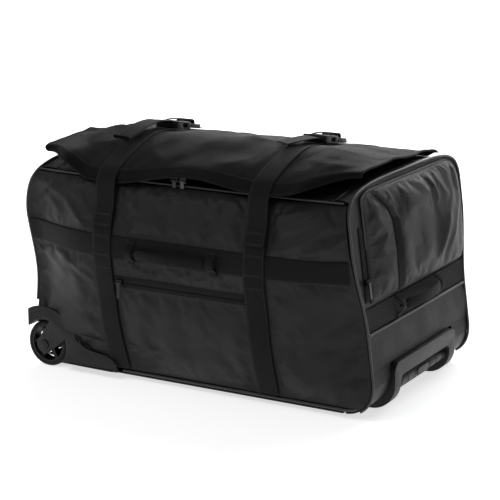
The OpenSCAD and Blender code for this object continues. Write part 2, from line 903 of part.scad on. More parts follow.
function above_flap(lift, from, to) = [
    for (i = [from : to])
        let(q = flap_path(strap_x)) q[i] - lift * strip_normal(q, i)
];
module strap_outline(points) {
    polygon(strip(points, web_t));
}
module upper_straps() {
    q = flap_path(strap_x);
    run = concat(
        [flap_rear(strap_x, socket_y + 3, 4.2) + [0, gap]],
        above_flap(gap, 5, 8),
        [[-249, 371]],
        [for (z = [330, 318, 306, 296]) [-side(strap_x, z) - upper_lift - 0.3, z]]
    );
    color("#131314")
        for (x = [-strap_x, strap_x])
            across(x, strap_w)
                polygon(strip([for (i = [len(run) - 1 : -1 : 0]) run[i]], web_t));
}
module rear_straps() {
    run = concat(
        [flap_rear(strap_x, 31, 17.4) + [0, gap]],
        [for (i = [3 : -1 : 0]) above_flap(gap, i, i)[0]]
    );
    color("#131314")
        for (x = [-strap_x, strap_x])
            across(x, strap_w)
                polygon(strip(run, web_t));
}

socket_w = 46;
socket_len = 46;
socket_h = 14;
wall = 2;
// Frame of a buckle on the flap, lying along the flap's slope behind its crown
module at_buckle(x) {
    translate([x, socket_y, crown(strap_x) - 3.2 + web_t + 2 * gap])
        rotate([-buckle_tilt, 0, 0]) children();
}
// Female half of a side release buckle: flat tube, open to the rear and at its sides
module socket(x) {
    at_buckle(x)
        difference() {
            translate([-socket_w / 2, 0, 0])
                cube([socket_w, socket_len, socket_h]);
            translate([-socket_w / 2 + wall, 12, wall])
                cube([socket_w - 2 * wall, socket_len, socket_h - 2 * wall]);
            translate([-socket_w / 2 - 1, 20, wall + 1])
                cube([socket_w + 2, 15, socket_h - 2 * wall - 2]);
            translate([-strap_w / 2 - 0.5, 3, -1])
                cube([strap_w + 1, 5, socket_h + 2]);
        }
}
// Male half: three prongs inside the socket, a body behind it and a ladder for the webbing
module tongue(x) {
    y1 = socket_len + 1;
    at_buckle(x)
        translate([0, 0, wall + 2]) {
            for (dx = [-18, -2.5, 13])
                translate([dx, 16, 0])
                    cube([5, y1 - 15, 6]);
            difference() {
                translate([-22, y1, -1])
                    cube([44, 36, 8]);
                for (dy = [9, 20])
                    translate([-17, y1 + dy, -2])
                        cube([34, 6, 10]);
            }
        }
}
module socket_left() {
    color("#0e0e0f") socket(-strap_x);
}
module socket_right() {
    color("#0e0e0f") socket(strap_x);
}
module tongue_left() {
    color("#0e0e0f") tongue(-strap_x);
}
module tongue_right() {
    color("#0e0e0f") tongue(strap_x);
}

// The belly and the grab handle reach further at the front, so the bag stands back by this much
bag_shift = 10;
module placed() {
    translate([0, bag_shift, 0]) children();
}

placed() base_tray();
placed() front_panel();
placed() back_panel();
placed() wheel_end_panel();
placed() handle_end_panel();
placed() end_kick_panel();
placed() end_pocket();
placed() top_rim_back();
placed() top_rim_ends();
placed() main_zip_tape();
placed() band_front();
placed() band_back();
placed() band_handle_end();
placed() lower_straps();
placed() end_seam_piping();
placed() end_arch_piping();
placed() side_top_piping();
placed() side_base_piping();
placed() front_zip_tape();
placed() front_zip_slider();
placed() front_zip_puller();
placed() end_zip_tape();
placed() end_zip_slider();
placed() end_zip_puller();
placed() main_zip_slider_left();
placed() main_zip_slider_right();
placed() main_zip_puller_left();
placed() main_zip_puller_right();
placed() grab_anchors();
placed() front_grab_handle();
placed() end_grab_handle();
placed() handle_bezel();
placed() outer_tubes();
placed() middle_tubes();
placed() inner_tubes();
placed() handle_grip();
placed() grip_button();
placed() wheel_housing_front();
placed() wheel_housing_back();
placed() wheel_axles();
placed() axle_caps();
placed() tyre_front();
placed() hub_front();
placed() tyre_back();
placed() hub_back();
placed() tube_end_block();
placed() fold_cord();
placed() lid_panel();
placed() storm_flap();
placed() upper_straps();
placed() rear_straps();
placed() socket_left();
placed() socket_right();
placed() tongue_left();
placed() tongue_right();
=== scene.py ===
"""Looks of the rolling duffel bag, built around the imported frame.

Shapes are worked out in millimetres and turned to metres when a mesh is made.
The outline of the bag follows the same rules as its design: panels that belly out
between piped edges, a domed deck, and a storm flap that hangs over the front.
"""
import json
import math

import bmesh
import bpy
import numpy as np
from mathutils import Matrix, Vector

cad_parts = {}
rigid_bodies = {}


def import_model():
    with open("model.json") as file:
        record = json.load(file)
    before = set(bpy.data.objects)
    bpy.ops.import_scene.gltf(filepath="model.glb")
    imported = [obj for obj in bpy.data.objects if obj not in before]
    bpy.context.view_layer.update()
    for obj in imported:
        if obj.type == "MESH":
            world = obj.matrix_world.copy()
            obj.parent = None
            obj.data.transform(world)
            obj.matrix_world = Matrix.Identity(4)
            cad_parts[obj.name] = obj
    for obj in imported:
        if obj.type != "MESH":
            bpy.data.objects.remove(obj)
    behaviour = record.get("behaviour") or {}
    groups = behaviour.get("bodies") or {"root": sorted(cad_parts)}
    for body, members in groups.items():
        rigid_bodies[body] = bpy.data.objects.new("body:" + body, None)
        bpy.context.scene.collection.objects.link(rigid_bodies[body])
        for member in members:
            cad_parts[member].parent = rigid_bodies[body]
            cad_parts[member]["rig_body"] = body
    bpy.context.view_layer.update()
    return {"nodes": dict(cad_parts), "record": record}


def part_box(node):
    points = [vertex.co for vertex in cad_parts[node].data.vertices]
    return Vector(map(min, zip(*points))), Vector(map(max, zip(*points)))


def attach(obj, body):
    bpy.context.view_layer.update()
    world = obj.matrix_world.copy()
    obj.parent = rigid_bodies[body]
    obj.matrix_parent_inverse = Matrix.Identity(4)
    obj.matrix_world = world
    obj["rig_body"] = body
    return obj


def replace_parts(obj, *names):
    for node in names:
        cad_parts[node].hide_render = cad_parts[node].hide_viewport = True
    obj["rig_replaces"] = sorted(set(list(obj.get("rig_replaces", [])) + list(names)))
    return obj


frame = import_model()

MM = 0.001

TRAY_LOW, TRAY_HIGH = (np.array(corner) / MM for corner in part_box("base_tray"))
MIDDLE = np.array([0, (TRAY_LOW[1] + TRAY_HIGH[1]) / 2, 0])


def mm_box(node):
    """Lowest and highest corner of a CAD node, in millimetres from the bag's middle plane."""
    low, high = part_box(node)
    return np.array(low) / MM - MIDDLE, np.array(high) / MM - MIDDLE


# ------------------------------------------------------------------ outline of the bag

PANEL_LOW, PANEL_HIGH = mm_box("front_panel")
SIDE_BOTTOM, SIDE_TOP = PANEL_LOW[2], PANEL_HIGH[2]
BASE_HALF = 207.0
END_FLARE = mm_box("handle_end_panel")[1][1] + 3.5 - BASE_HALF
SIDE_BELLY = 45.0
BELLY_FLAT, BELLY_REACH = 135.0, 320.0
HANDLE_END = mm_box("end_kick_panel")[1][0]
END_LEAN = 45.0
WHEEL_END = -mm_box("wheel_end_panel")[0][0]
SHOULDER_Z, ARCH_RISE, ARCH_POWER = 320.0, 76.0, 4.25
ARCH_TOP = SHOULDER_Z + ARCH_RISE - 3
CORNER_R, TRAY_Z = 50.0, mm_box("base_tray")[0][2]
DECK_HALF, DECK_RISE, DECK_END_RISE = 228.0, 34.0, 21.0
FLAP_LOW, FLAP_HIGH = mm_box("storm_flap")
FLAP_CROWN = FLAP_HIGH[2]
FOLD_Y = (mm_box("fold_cord")[0][1] + mm_box("fold_cord")[1][1]) / 2
STRAP_X = mm_box("lower_straps")[1][0] - 20.0
STRAP_W = 40.0
WEB_T = 1.5
BAND_LOW, BAND_HIGH = mm_box("band_front")[0][2], mm_box("band_front")[1][2]
END_BAND_LOW, END_BAND_HIGH = mm_box("band_handle_end")[0][2], mm_box("band_handle_end")[1][2]
SEAM_Z = (mm_box("end_seam_piping")[0][2] + mm_box("end_seam_piping")[1][2]) / 2
WHEEL_LOW, WHEEL_HIGH = mm_box("tyre_front")
WHEEL_C = (WHEEL_LOW + WHEEL_HIGH) / 2
WHEEL_R = (WHEEL_HIGH[2] - WHEEL_LOW[2]) / 2
HOUSING_Y = mm_box("wheel_housing_front")[0][1]
PIPING_R = 2.4
CLOTH_T = 3
SEAM_GAP = 3.5  # the ends' cloth stops this far short of an edge, to leave room for its piping
THREAD_W, THREAD_H = 0.8, 0.35
GRAB_W, GRAB_T = 18, 3.4
FOCAL_MM, SENSOR_MM = 123.048, 36


def clamp01(t):
    return np.clip(t, 0.0, 1.0)


def ease(t):
    t = clamp01(t)
    return t * t * (3 - 2 * t)


def end_half(z):
    """Half depth of the end panels at height z, closing in an arch above the shoulder."""
    z = np.asarray(z, float)
    straight = BASE_HALF + END_FLARE * ease((z - 150) / 150)
    t = clamp01((z - SHOULDER_Z) / ARCH_RISE)
    arch = (BASE_HALF + END_FLARE) * (1 - t ** ARCH_POWER) ** (1 / ARCH_POWER)
    return np.where(z <= SHOULDER_Z, straight, arch)


def belly_share(x):
    return 1 - clamp01((np.abs(x) - BELLY_FLAT) / (BELLY_REACH - BELLY_FLAT)) ** 1.6


def tuck(x, z):
    """How far the cloth draws in at the wheel end's corners, between the housing and the top."""
    return 17 * ease((-x - 200) / 145) * np.sin(np.pi * clamp01((z - 60) / (SIDE_TOP - 60)))


def side(x, z):
    """Distance of a long side's cloth from the middle plane."""
    x, z = np.asarray(x, float), np.asarray(z, float)
    swell = SIDE_BELLY * np.sin(np.pi * clamp01((z - 20) / 352)) + 8 * ease((z - SHOULDER_Z) / 52)
    return end_half(z) + belly_share(x) * swell - tuck(x, z)


def handle_face(z):
    """Outer face of the handle end: rounded into the base, leaning in above."""
    z = np.asarray(z, float)
    low = HANDLE_END - CORNER_R + np.sqrt(
        np.maximum(0, CORNER_R ** 2 - (CORNER_R + TRAY_Z - np.minimum(z, CORNER_R + TRAY_Z)) ** 2))
    return np.where(z < CORNER_R + TRAY_Z, low, HANDLE_END - END_LEAN * np.maximum(0, z - 70) / 330)


def wheel_face(z):
    """Outer face of the wheel end: upright, rounding in at the top."""
    return -WHEEL_END + 47 * (np.maximum(0, np.asarray(z, float) - 290) / 109) ** 2


def housing_edge(z):
    """Where the long sides stop along the wheel housing."""
    z = np.asarray(z, float)
    fender = WHEEL_C[0] + np.sqrt(np.maximum(0, (WHEEL_R + 31) ** 2 - (z - WHEEL_R) ** 2))
    foot = np.interp(z, [30, 36, 43, 50, 62], [-155, -161, -176, -224, -242])
    return np.where(z > WHEEL_R + 31, wheel_face(z), np.where(z > 62, fender, foot))


def deck(x, y):
    """Height of the top deck."""
    rise = DECK_END_RISE + (DECK_RISE - DECK_END_RISE) * (1 - (x / 300) ** 2)
    return SIDE_TOP + rise * (1 - (y / DECK_HALF) ** 2)


LEAN = math.atan(END_LEAN / 330)


def to_end(x):
    return ease((np.abs(x) - 215) / 85)


def crown(x):
    """Height of the storm flap's crown along the bag."""
    return FLAP_CROWN - 16 * to_end(x) - 3 * (x / 300) ** 2


def hem_z(x):
    """Height of the flap's front hem: low under the straps, arched between them."""
    wave = 9 * np.cos(np.pi * x / STRAP_X) + 9 * ease((x + STRAP_X) / 300)
    left, right = 17 * ease((-x - 195) / 50), 12 * ease((x - 190) / 100)
    return 381 + wave + left + right


def hem_y(x):
    return -244 + 42 * ease((-x - 235) / 65) + 78 * ease((x - 215) / 85)


def flap_nodes(x):
    """Points of the flap's section at x, from its rear seam over the crown to the hem."""
    rear = [(165, 41), (120, 33), (40, 19), (-40, 5), (-110, 0)]
    high = 1 - 0.6 * to_end(x)
    front = [(0.41, 0.22 * high, 0), (0.82, 0.6 * high, 400), (0.948, 0.85 * high, 389), (1, 1, 0)]
    y0 = FOLD_Y - 4
    start = deck(min(abs(x), 300), y0) + 5 + 9 * ease((abs(x) - 260) / 35)
    points = [(x, y0, start)]
    points += [(x, y, crown(x) - fall * (1 - 0.6 * to_end(x))) for y, fall in rear]
    points += [(x, -110 + (hem_y(x) + 110) * s, max(low, crown(x) + (hem_z(x) - crown(x)) * t))
               for s, t, low in front]
    return np.array(points, float)

# ------------------------------------------------------------------ mesh helpers


def new_object(name, verts, faces, material, body, replaces=(), smooth_angle=40, uv=None):
    """A mesh piece in metres from points in millimetres, riding on a CAD body."""
    mesh = bpy.data.meshes.new(name)
    mesh.from_pydata(((np.asarray(verts, float) + MIDDLE) * MM).tolist(), [], faces)
    mesh.validate()
    mesh.polygons.foreach_set("use_smooth", [True] * len(mesh.polygons))
    mesh.set_sharp_from_angle(angle=math.radians(smooth_angle))
    if uv is not None:
        layer = mesh.uv_layers.new(name="weave")
        loops = np.zeros(len(mesh.loops), int)
        mesh.loops.foreach_get("vertex_index", loops)
        layer.data.foreach_set("uv", (np.asarray(uv, float)[loops] * MM).ravel())
    piece = bpy.data.objects.new(name, mesh)
    bpy.context.scene.collection.objects.link(piece)
    return dress(piece, material, body, replaces)


def dress(piece, material, body, replaces=()):
    piece.data.materials.clear()
    piece.data.materials.append(material)
    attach(piece, body)
    if replaces:
        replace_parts(piece, *replaces)
    return piece


def unit(v):
    return v / np.maximum(np.linalg.norm(v, axis=-1, keepdims=True), 1e-9)


def distances(points):
    """Distance along a path to each of its points."""
    return np.concatenate([[0], np.cumsum(np.linalg.norm(np.diff(points, axis=0), axis=1))])


def read_off(s, size, rows):
    """Rows read off at distance s along a path whose points lie at the distances in size."""
    return np.stack([np.interp(s, size, rows[:, k]) for k in range(rows.shape[1])], -1)


def unit_grid(nu, nv):
    return np.meshgrid(np.linspace(0, 1, nu), np.linspace(0, 1, nv), indexing="ij")


def grid_normals(points):
    return unit(np.cross(np.gradient(points, axis=0), np.gradient(points, axis=1)))


def grid_faces(nu, nv, start=0, flip=False):
    i, j = np.meshgrid(np.arange(nu - 1), np.arange(nv - 1), indexing="ij")
    a = (start + i * nv + j).ravel()
    quads = np.stack([a, a + nv, a + nv + 1, a + 1], 1)
    return (quads[:, ::-1] if flip else quads).tolist()


def grid_uv(points):
    """Arc length along both directions of a grid, in millimetres."""
    along_u = np.linalg.norm(np.diff(points, axis=0), axis=2).mean(1)
    along_v = np.linalg.norm(np.diff(points, axis=1), axis=2).mean(0)
    u = np.concatenate([[0], np.cumsum(along_u)])
    v = np.concatenate([[0], np.cumsum(along_v)])
    return np.stack(np.meshgrid(u, v, indexing="ij"), 2).reshape(-1, 2)


def shell(name, points, thickness, material, body, replaces=(), flip=False):
    """Closed sheet of cloth below a grid of outer points; flip when the grid faces inwards."""
    nu, nv = points.shape[:2]
    normals = grid_normals(points) * (-1 if flip else 1)
    inner = points - normals * thickness
    n = nu * nv
    faces = grid_faces(nu, nv, 0, flip) + grid_faces(nu, nv, n, not flip)
    ring = ([i * nv for i in range(nu)] + [(nu - 1) * nv + j for j in range(1, nv)]
            + [i * nv + nv - 1 for i in range(nu - 2, -1, -1)] + [j for j in range(nv - 2, 0, -1)])
    for a, b in zip(ring, ring[1:] + ring[:1]):
        faces.append([a, n + a, n + b, b] if not flip else [a, b, n + b, n + a])
    verts = np.concatenate([points.reshape(-1, 3), inner.reshape(-1, 3)])
    uv = np.concatenate([grid_uv(points)] * 2)
    return new_object(name, verts, faces, material, body, replaces, uv=uv)


def sweep(name, rings, material, body, replaces=(), closed=False, smooth_angle=40, lengths=None):
    """Tube through rings of points, shape (count, points per ring, 3), capped unless closed."""
    rings = np.asarray(rings, float)
    count, per = rings.shape[:2]
    faces = []
    for i in range(count if closed else count - 1):
        a, b = i * per, ((i + 1) % count) * per
        faces += [[a + k, a + (k + 1) % per, b + (k + 1) % per, b + k] for k in range(per)]
    if not closed:
        faces.append(list(range(per))[::-1])
        faces.append([(count - 1) * per + k for k in range(per)])
    around = distances(rings[0])
    along = distances(rings.mean(1))
    uv = np.stack(np.meshgrid(along, around, indexing="ij"), 2).reshape(-1, 2)
    return new_object(name, rings.reshape(-1, 3), faces, material, body, replaces,
                      smooth_angle, uv)


def round_ring(centre, tangent, radius, up, sides=10):
    a = unit(np.cross(tangent, up))
    b = np.cross(tangent, a)
    turn = np.linspace(0, 2 * np.pi, sides, endpoint=False)[:, None]
    return centre + radius * (np.cos(turn) * a + np.sin(turn) * b)


def cord_rings(path, radius, up, sides=10):
    path = np.asarray(path, float)
    tangents = unit(np.gradient(path, axis=0))
    ups = np.broadcast_to(np.asarray(up, float), path.shape)
    radii = np.broadcast_to(radius, len(path))
    return np.array([round_ring(p, t, r, u, sides) for p, t, r, u in zip(path, tangents, radii, ups)])


def smooth_path(points, step):
    """Catmull-Rom curve through points, resampled evenly every step millimetres."""
    p = np.asarray(points, float)
    p = np.concatenate([[2 * p[0] - p[1]], p, [2 * p[-1] - p[-2]]])
    t = np.linspace(0, 1, 24, endpoint=False)[:, None]
    out = []
    for a, b, c, d in zip(p, p[1:], p[2:], p[3:]):
        out.append(0.5 * (2 * b + (c - a) * t + (2 * a - 5 * b + 4 * c - d) * t ** 2
                          + (3 * b - a - 3 * c + d) * t ** 3))
    out = np.concatenate(out + [p[-2:-1]])
    length = distances(out)
    even = np.linspace(0, length[-1], max(2, int(length[-1] / step) + 1))
    return read_off(even, length, out)


def web_section(width, thickness, cells=8):
    """Cross-section of webbing: (across, lift) points round a strip with soft edges."""
    half, soft = width / 2, 0.45 * thickness
    top = [(a, thickness) for a in np.linspace(half - soft, -half + soft, cells)]
    low = [(a, 0) for a in np.linspace(-half + soft, half - soft, cells)]
    left, right = [(-half, thickness - soft), (-half, soft)], [(half, soft), (half, thickness - soft)]
    return top + left + low + right


def ribbon(name, place, along, section, material, body, replaces=()):
    """Webbing or tape laid by place(s, across, lift) at each station s."""
    across = np.array([a for a, h in section])
    lift = np.array([h for a, h in section])
    rings = [place(np.full(len(section), s), across, lift) for s in along]
    return sweep(name, rings, material, body, replaces, smooth_angle=50)


def spindles(name, ends, width, height, normal, material, body):
    """Many small thread stitches or zip teeth in one mesh; ends is (n, 2, 3), normal (n, 3)."""
    ends, normal = np.asarray(ends, float), unit(np.asarray(normal, float))
    a, b = ends[:, 0], ends[:, 1]
    along = b - a
    cross = unit(np.cross(along, normal)) * width / 2
    up = normal * height
    verts, faces = [], []
    for share in (0.12, 0.5, 0.88):
        mid = a + along * share
        swell = 1.0 if share == 0.5 else 0.8
        verts += [mid + cross * swell, mid + up * swell, mid - cross * swell, mid - up * 0.2]
    verts = np.stack([a] + verts + [b], 1)
    quads = [[1 + 4 * r + k, 1 + 4 * r + (k + 1) % 4, 5 + 4 * r + (k + 1) % 4, 5 + 4 * r + k]
             for r in range(2) for k in range(4)]
    caps = [[0, 1 + (k + 1) % 4, 1 + k] for k in range(4)] + [[13, 9 + k, 9 + (k + 1) % 4] for k in range(4)]
    for i in range(len(a)):
        faces += [[14 * i + v for v in face] for face in quads + caps]
    return new_object(name, verts.reshape(-1, 3), faces, material, body)


def laid(place, s, a, lift):
    """Two ends laid by place, and the outward direction at the first."""
    low = place(s, a, np.full(2, lift))
    return low, (place(s, a, np.full(2, lift + 1)) - low)[0]


def stitch_run(place, runs, lift, length=3.0, pitch=4.2):
    """Ends and normals of stitches along straight runs (s0, a0, s1, a1) laid by place."""
    made = []
    for s0, a0, s1, a1 in runs:
        size = math.hypot(s1 - s0, a1 - a0)
        for start in np.arange(0, max(size - length, 0) + 0.01, pitch):
            t = np.array([start, start + length]) / size
            made.append(laid(place, s0 + (s1 - s0) * t, a0 + (a1 - a0) * t, lift))
    return [end for end, _ in made], [normal for _, normal in made]


def stitches(name, ends, normals, body):
    """The thread of sewn webbing."""
    spindles(name, ends, THREAD_W, THREAD_H, normals, THREAD, body)


def bevelled(node, width, material, name=None, segments=3, angle=30, corners=()):
    """The CAD node's own shape with rounded edges, standing for that node.

    corners are (distance from the middle, height, radius) of edges along x that are rounded more.
    """
    source = frame["nodes"][node]
    mesh = source.data.copy()
    mesh.name = name or node + "_shape"
    bm = bmesh.new()
    bm.from_mesh(mesh)
    bmesh.ops.remove_doubles(bm, verts=bm.verts, dist=1e-6)
    bmesh.ops.dissolve_limit(bm, angle_limit=math.radians(0.5), verts=bm.verts, edges=bm.edges)
    for y, z, radius in corners:
        chosen = []
        for edge in bm.edges:
            a, b = (np.array(vert.co) / MM - MIDDLE for vert in edge.verts)
            off = max(abs(abs(end[1]) - y) + abs(end[2] - z) for end in (a, b))
            if off < 3 and abs(a[0] - b[0]) > 8:
                chosen.append(edge)
        if chosen:
            bmesh.ops.bevel(bm, geom=chosen, offset=radius * MM, segments=7, affect="EDGES", profile=0.5,
                            clamp_overlap=True)
    sharp = [e for e in bm.edges if len(e.link_faces) == 2 and e.calc_face_angle(0) > math.radians(angle)]
    bmesh.ops.bevel(bm, geom=sharp, offset=width * MM, segments=segments, affect="EDGES",
                    profile=0.5, clamp_overlap=True)
    bm.to_mesh(mesh)
    bm.free()
    mesh.polygons.foreach_set("use_smooth", [True] * len(mesh.polygons))
    mesh.set_sharp_from_angle(angle=math.radians(35))
    piece = bpy.data.objects.new(mesh.name, mesh)
    bpy.context.scene.collection.objects.link(piece)
    return dress(piece, material, source["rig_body"], [node])


def join(name, pieces):
    """One piece out of several of the same material and body."""
    bpy.ops.object.select_all(action="DESELECT")
    for piece in pieces:
        piece.select_set(True)
    bpy.context.view_layer.objects.active = pieces[0]
    replaced = sorted({n for piece in pieces for n in piece.get("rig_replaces", [])})
    bpy.ops.object.join()
    pieces[0].name = name
    if replaced:
        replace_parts(pieces[0], *replaced)
    return pieces[0]


# ------------------------------------------------------------------ relief of the cloth


def ripple(a, b, size, seed, count=14):
    """Smooth irregular waves over two coordinates, about -1 to 1, size is the wavelength."""
    rng = np.random.default_rng(seed)
    total = np.zeros(np.broadcast(a, b).shape)
    for _ in range(count):
        turn, phase = rng.uniform(0, 2 * np.pi, 2)
        k = 2 * np.pi / (size * rng.uniform(0.6, 1.6))
        total += np.sin(k * (np.cos(turn) * a + np.sin(turn) * b) + phase)
    return total / math.sqrt(count)


def fold(a, b, a0, b0, a1, b1, width, height, bend=0.0):
    """A soft ridge (or a valley, height below 0) along a bent line between two points."""
    line = np.array([a1 - a0, b1 - b0], float)
    size = np.hypot(*line)
    line /= size
    t = ((a - a0) * line[0] + (b - b0) * line[1]) / size
    off = -(a - a0) * line[1] + (b - b0) * line[0] - bend * 4 * clamp01(t) * (1 - clamp01(t))
    beyond = np.maximum(0, np.maximum(-t, t - 1)) * size
    taper = np.where((t > 0) & (t < 1), np.sin(np.pi * clamp01(t)) ** 0.5, 0)
    crest = 1.37 * np.exp(-np.sqrt((off / width) ** 2 + 0.1))
    return height * crest * taper * np.exp(-(beyond / width) ** 2)


def folds(a, b, rows):
    return sum(fold(a, b, *row) for row in rows)


def wrinkled(points, pinned, slack, push, cap, stiff, frames=16):
    """The grid of points as loose cloth: held where pinned is near 1, blown out and crumpled elsewhere."""
    normals = grid_normals(points)
    nu, nv = points.shape[:2]
    rng = np.random.default_rng(7)
    start = points + normals * (rng.uniform(-0.25, 0.25, (nu, nv, 1)) * (1 - pinned[..., None]))
    mesh = bpy.data.meshes.new("trial")
    mesh.from_pydata((start.reshape(-1, 3) * MM).tolist(), [], grid_faces(nu, nv))
    trial = bpy.data.objects.new("trial", mesh)
    bpy.context.scene.collection.objects.link(trial)
    group = trial.vertex_groups.new(name="pinned")
    for k, weight in enumerate(pinned.reshape(-1).tolist()):
        group.add([k], weight, "REPLACE")
    cloth = trial.modifiers.new("cloth", "CLOTH")
    cloth.settings.quality = 4
    cloth.settings.mass = 0.25
    cloth.settings.tension_stiffness = 18
    cloth.settings.compression_stiffness = 18
    cloth.settings.shear_stiffness = 8
    cloth.settings.bending_stiffness = stiff
    cloth.settings.vertex_group_mass = "pinned"
    cloth.settings.pin_stiffness = 2.0
    cloth.settings.shrink_min = -slack
    cloth.settings.use_pressure = True
    cloth.settings.uniform_pressure_force = push
    cloth.settings.effector_weights.gravity = 0
    cloth.collision_settings.use_collision = False
    for frame_number in range(1, frames + 1):
        bpy.context.scene.frame_set(frame_number)
    made = trial.evaluated_get(bpy.context.evaluated_depsgraph_get()).to_mesh()
    flat = np.empty(len(made.vertices) * 3)
    made.vertices.foreach_get("co", flat)
    trial.to_mesh_clear()
    bpy.data.objects.remove(trial)
    bpy.data.meshes.remove(mesh)
    bpy.context.scene.frame_set(1)
    moved = flat.reshape(nu, nv, 3) / MM - points
    out = (moved * normals).sum(2, keepdims=True)
    slide = moved - out * normals
    out = cap * np.tanh(out / cap)
    slide *= np.minimum(1, 3 / np.maximum(np.linalg.norm(slide, axis=2, keepdims=True), 1e-6))
    return points + (out * normals + slide) * (1 - pinned[..., None] ** 4)


# ------------------------------------------------------------------ materials


class Graph:
    """Short way to write a node material."""

    def __init__(self, name, color, roughness, **sockets):
        self.material = bpy.data.materials.new(name)
        self.material.use_nodes = True
        self.tree = self.material.node_tree
        self.shader = self.tree.nodes["Principled BSDF"]
        self.color, self.roughness = color, roughness
        self.shader.inputs["Base Color"].default_value = (*color, 1)
        self.shader.inputs["Roughness"].default_value = roughness
        for key, value in sockets.items():
            self.shader.inputs[key.replace("_", " ")].default_value = value
        self.height = None

    def node(self, kind, **values):
        made = self.tree.nodes.new(kind)
        for key, value in values.items():
            if key in made.inputs:
                made.inputs[key].default_value = value
            else:
                setattr(made, key, value)
        return made

    def link(self, source, target):
        self.tree.links.new(source, target)
        return target.node

    def place(self):
        return self.node("ShaderNodeTexCoord").outputs["Object"]

    def weave_uv(self):
        return self.node("ShaderNodeUVMap", uv_map="weave").outputs["UV"]

    def noise(self, at, scale, detail=3.0, roughness=0.55):
        made = self.node("ShaderNodeTexNoise", Scale=scale, Detail=detail, Roughness=roughness)
        self.link(at, made.inputs["Vector"])
        return made.outputs["Fac"]

    def wave(self, at, scale, direction="X", profile="SIN", distortion=0.0):
        made = self.node("ShaderNodeTexWave", Scale=scale, Distortion=distortion,
                         bands_direction=direction, wave_profile=profile)
        self.link(at, made.inputs["Vector"])
        return made.outputs["Fac"]

    def math(self, operation, a, b):
        made = self.node("ShaderNodeMath", operation=operation)
        for socket, value in zip(made.inputs, (a, b)):
            if isinstance(value, (int, float)):
                socket.default_value = value
            else:
                self.link(value, socket)
        return made.outputs[0]

    def vary_color(self, factor, low, high):
        """Base colour from low to high times the material's colour, by factor."""
        ramp = self.node("ShaderNodeValToRGB")
        ends = ramp.color_ramp.elements
        ends[0].position, ends[1].position = 0.3, 0.7
        ends[0].color = (*[c * low for c in self.color], 1)
        ends[1].color = (*[c * high for c in self.color], 1)
        self.link(factor, ramp.inputs["Fac"])
        self.link(ramp.outputs["Color"], self.shader.inputs["Base Color"])

    def vary_roughness(self, factor, low, high):
        made = self.node("ShaderNodeMapRange")
        made.inputs["To Min"].default_value = low
        made.inputs["To Max"].default_value = high
        self.link(factor, made.inputs["Value"])
        self.link(made.outputs["Result"], self.shader.inputs["Roughness"])

    def bump(self, height, distance, strength=1.0):
        made = self.node("ShaderNodeBump", Strength=strength, Distance=distance)
        self.link(height, made.inputs["Height"])
        if self.height is not None:
            self.link(self.height, made.inputs["Normal"])
        self.height = made.outputs["Normal"]
        self.link(self.height, self.shader.inputs["Normal"])


def woven(graph, pitch, depth):
    """Over and under of warp and weft at a thread pitch in metres."""
    at = graph.weave_uv()
    scale = math.pi / (10 * pitch)
    warp = graph.wave(at, scale, "X")
    weft = graph.wave(at, scale, "Y")
    checker = graph.node("ShaderNodeTexChecker", Scale=1 / pitch)
    graph.link(at, checker.inputs["Vector"])
    over = graph.node("ShaderNodeMix")
    graph.link(checker.outputs["Fac"], over.inputs["Factor"])
    graph.link(warp, over.inputs[2])
    graph.link(weft, over.inputs[3])
    graph.bump(over.outputs[0], depth)
    return over.outputs[0]


def coated_cloth(name="coated_cloth", color=(0.0085, 0.0087, 0.0092), rough=0.4, shine=0.17):
    g = Graph(name, color, rough, Specular_IOR_Level=shine, Coat_Weight=0.03, Coat_Roughness=0.3)
    at = g.place()
    g.vary_color(g.noise(at, 9, 5), 0.85, 1.2)
    woven(g, 0.0011, 0.00012)
    creases = g.noise(at, 42, 6, 0.62)
    g.bump(creases, 0.0016, 0.35)
    g.vary_roughness(g.noise(at, 60, 4), rough - 0.07, rough + 0.1)
    return g.material


def flap_cloth():
    g = Graph("flap_cloth", (0.0034, 0.0034, 0.0036), 0.56, Specular_IOR_Level=0.07,
              Sheen_Weight=0.05, Sheen_Roughness=0.4)
    at = g.place()
    thread = woven(g, 0.0016, 0.0003)
    g.vary_color(g.math("ADD", g.math("MULTIPLY", g.noise(at, 14, 5), 0.7), g.math("MULTIPLY", thread, 0.3)),
                 0.75, 1.3)
    g.bump(g.noise(at, 30, 5, 0.6), 0.002, 0.3)
    g.vary_roughness(g.noise(at, 120, 3), 0.52, 0.72)
    return g.material


def webbing():
    g = Graph("webbing", (0.0036, 0.0036, 0.0038), 0.72, Specular_IOR_Level=0.1,
              Sheen_Weight=0.04, Sheen_Roughness=0.5)
    at = g.weave_uv()
    ribs = g.wave(at, math.pi / (10 * 0.0018), "X", "SIN", 0.4)
    cords = g.wave(at, math.pi / (10 * 0.0032), "Y", "SIN")
    both = g.math("ADD", g.math("MULTIPLY", ribs, 0.7), g.math("MULTIPLY", cords, 0.5))
    g.bump(both, 0.00035)
    g.vary_color(g.math("MULTIPLY", both, 0.8), 0.7, 1.35)
    g.bump(g.noise(g.place(), 900, 2), 0.0001, 0.5)
    g.vary_roughness(g.noise(g.place(), 200, 3), 0.56, 0.76)
    return g.material


def plastic(name, color, rough, grain=0.00012, scale=2600):
    g = Graph(name, color, rough, Specular_IOR_Level=0.22)
    at = g.place()
    g.vary_color(g.noise(at, 25, 4), 0.85, 1.18)
    g.bump(g.noise(at, scale, 2), grain)
    g.vary_roughness(g.noise(at, 90, 4), rough - 0.06, rough + 0.08)
    return g.material


def metal(name, color, rough):
    g = Graph(name, color, rough, Metallic=1.0)
    at = g.place()
    streak = g.node("ShaderNodeMapping")
    streak.inputs["Scale"].default_value = (1, 60, 60)
    g.link(at, streak.inputs["Vector"])
    g.vary_roughness(g.noise(streak.outputs["Vector"], 30, 4), rough - 0.08, rough + 0.1)
    g.vary_color(g.noise(at, 30, 3), 0.92, 1.06)
    return g.material


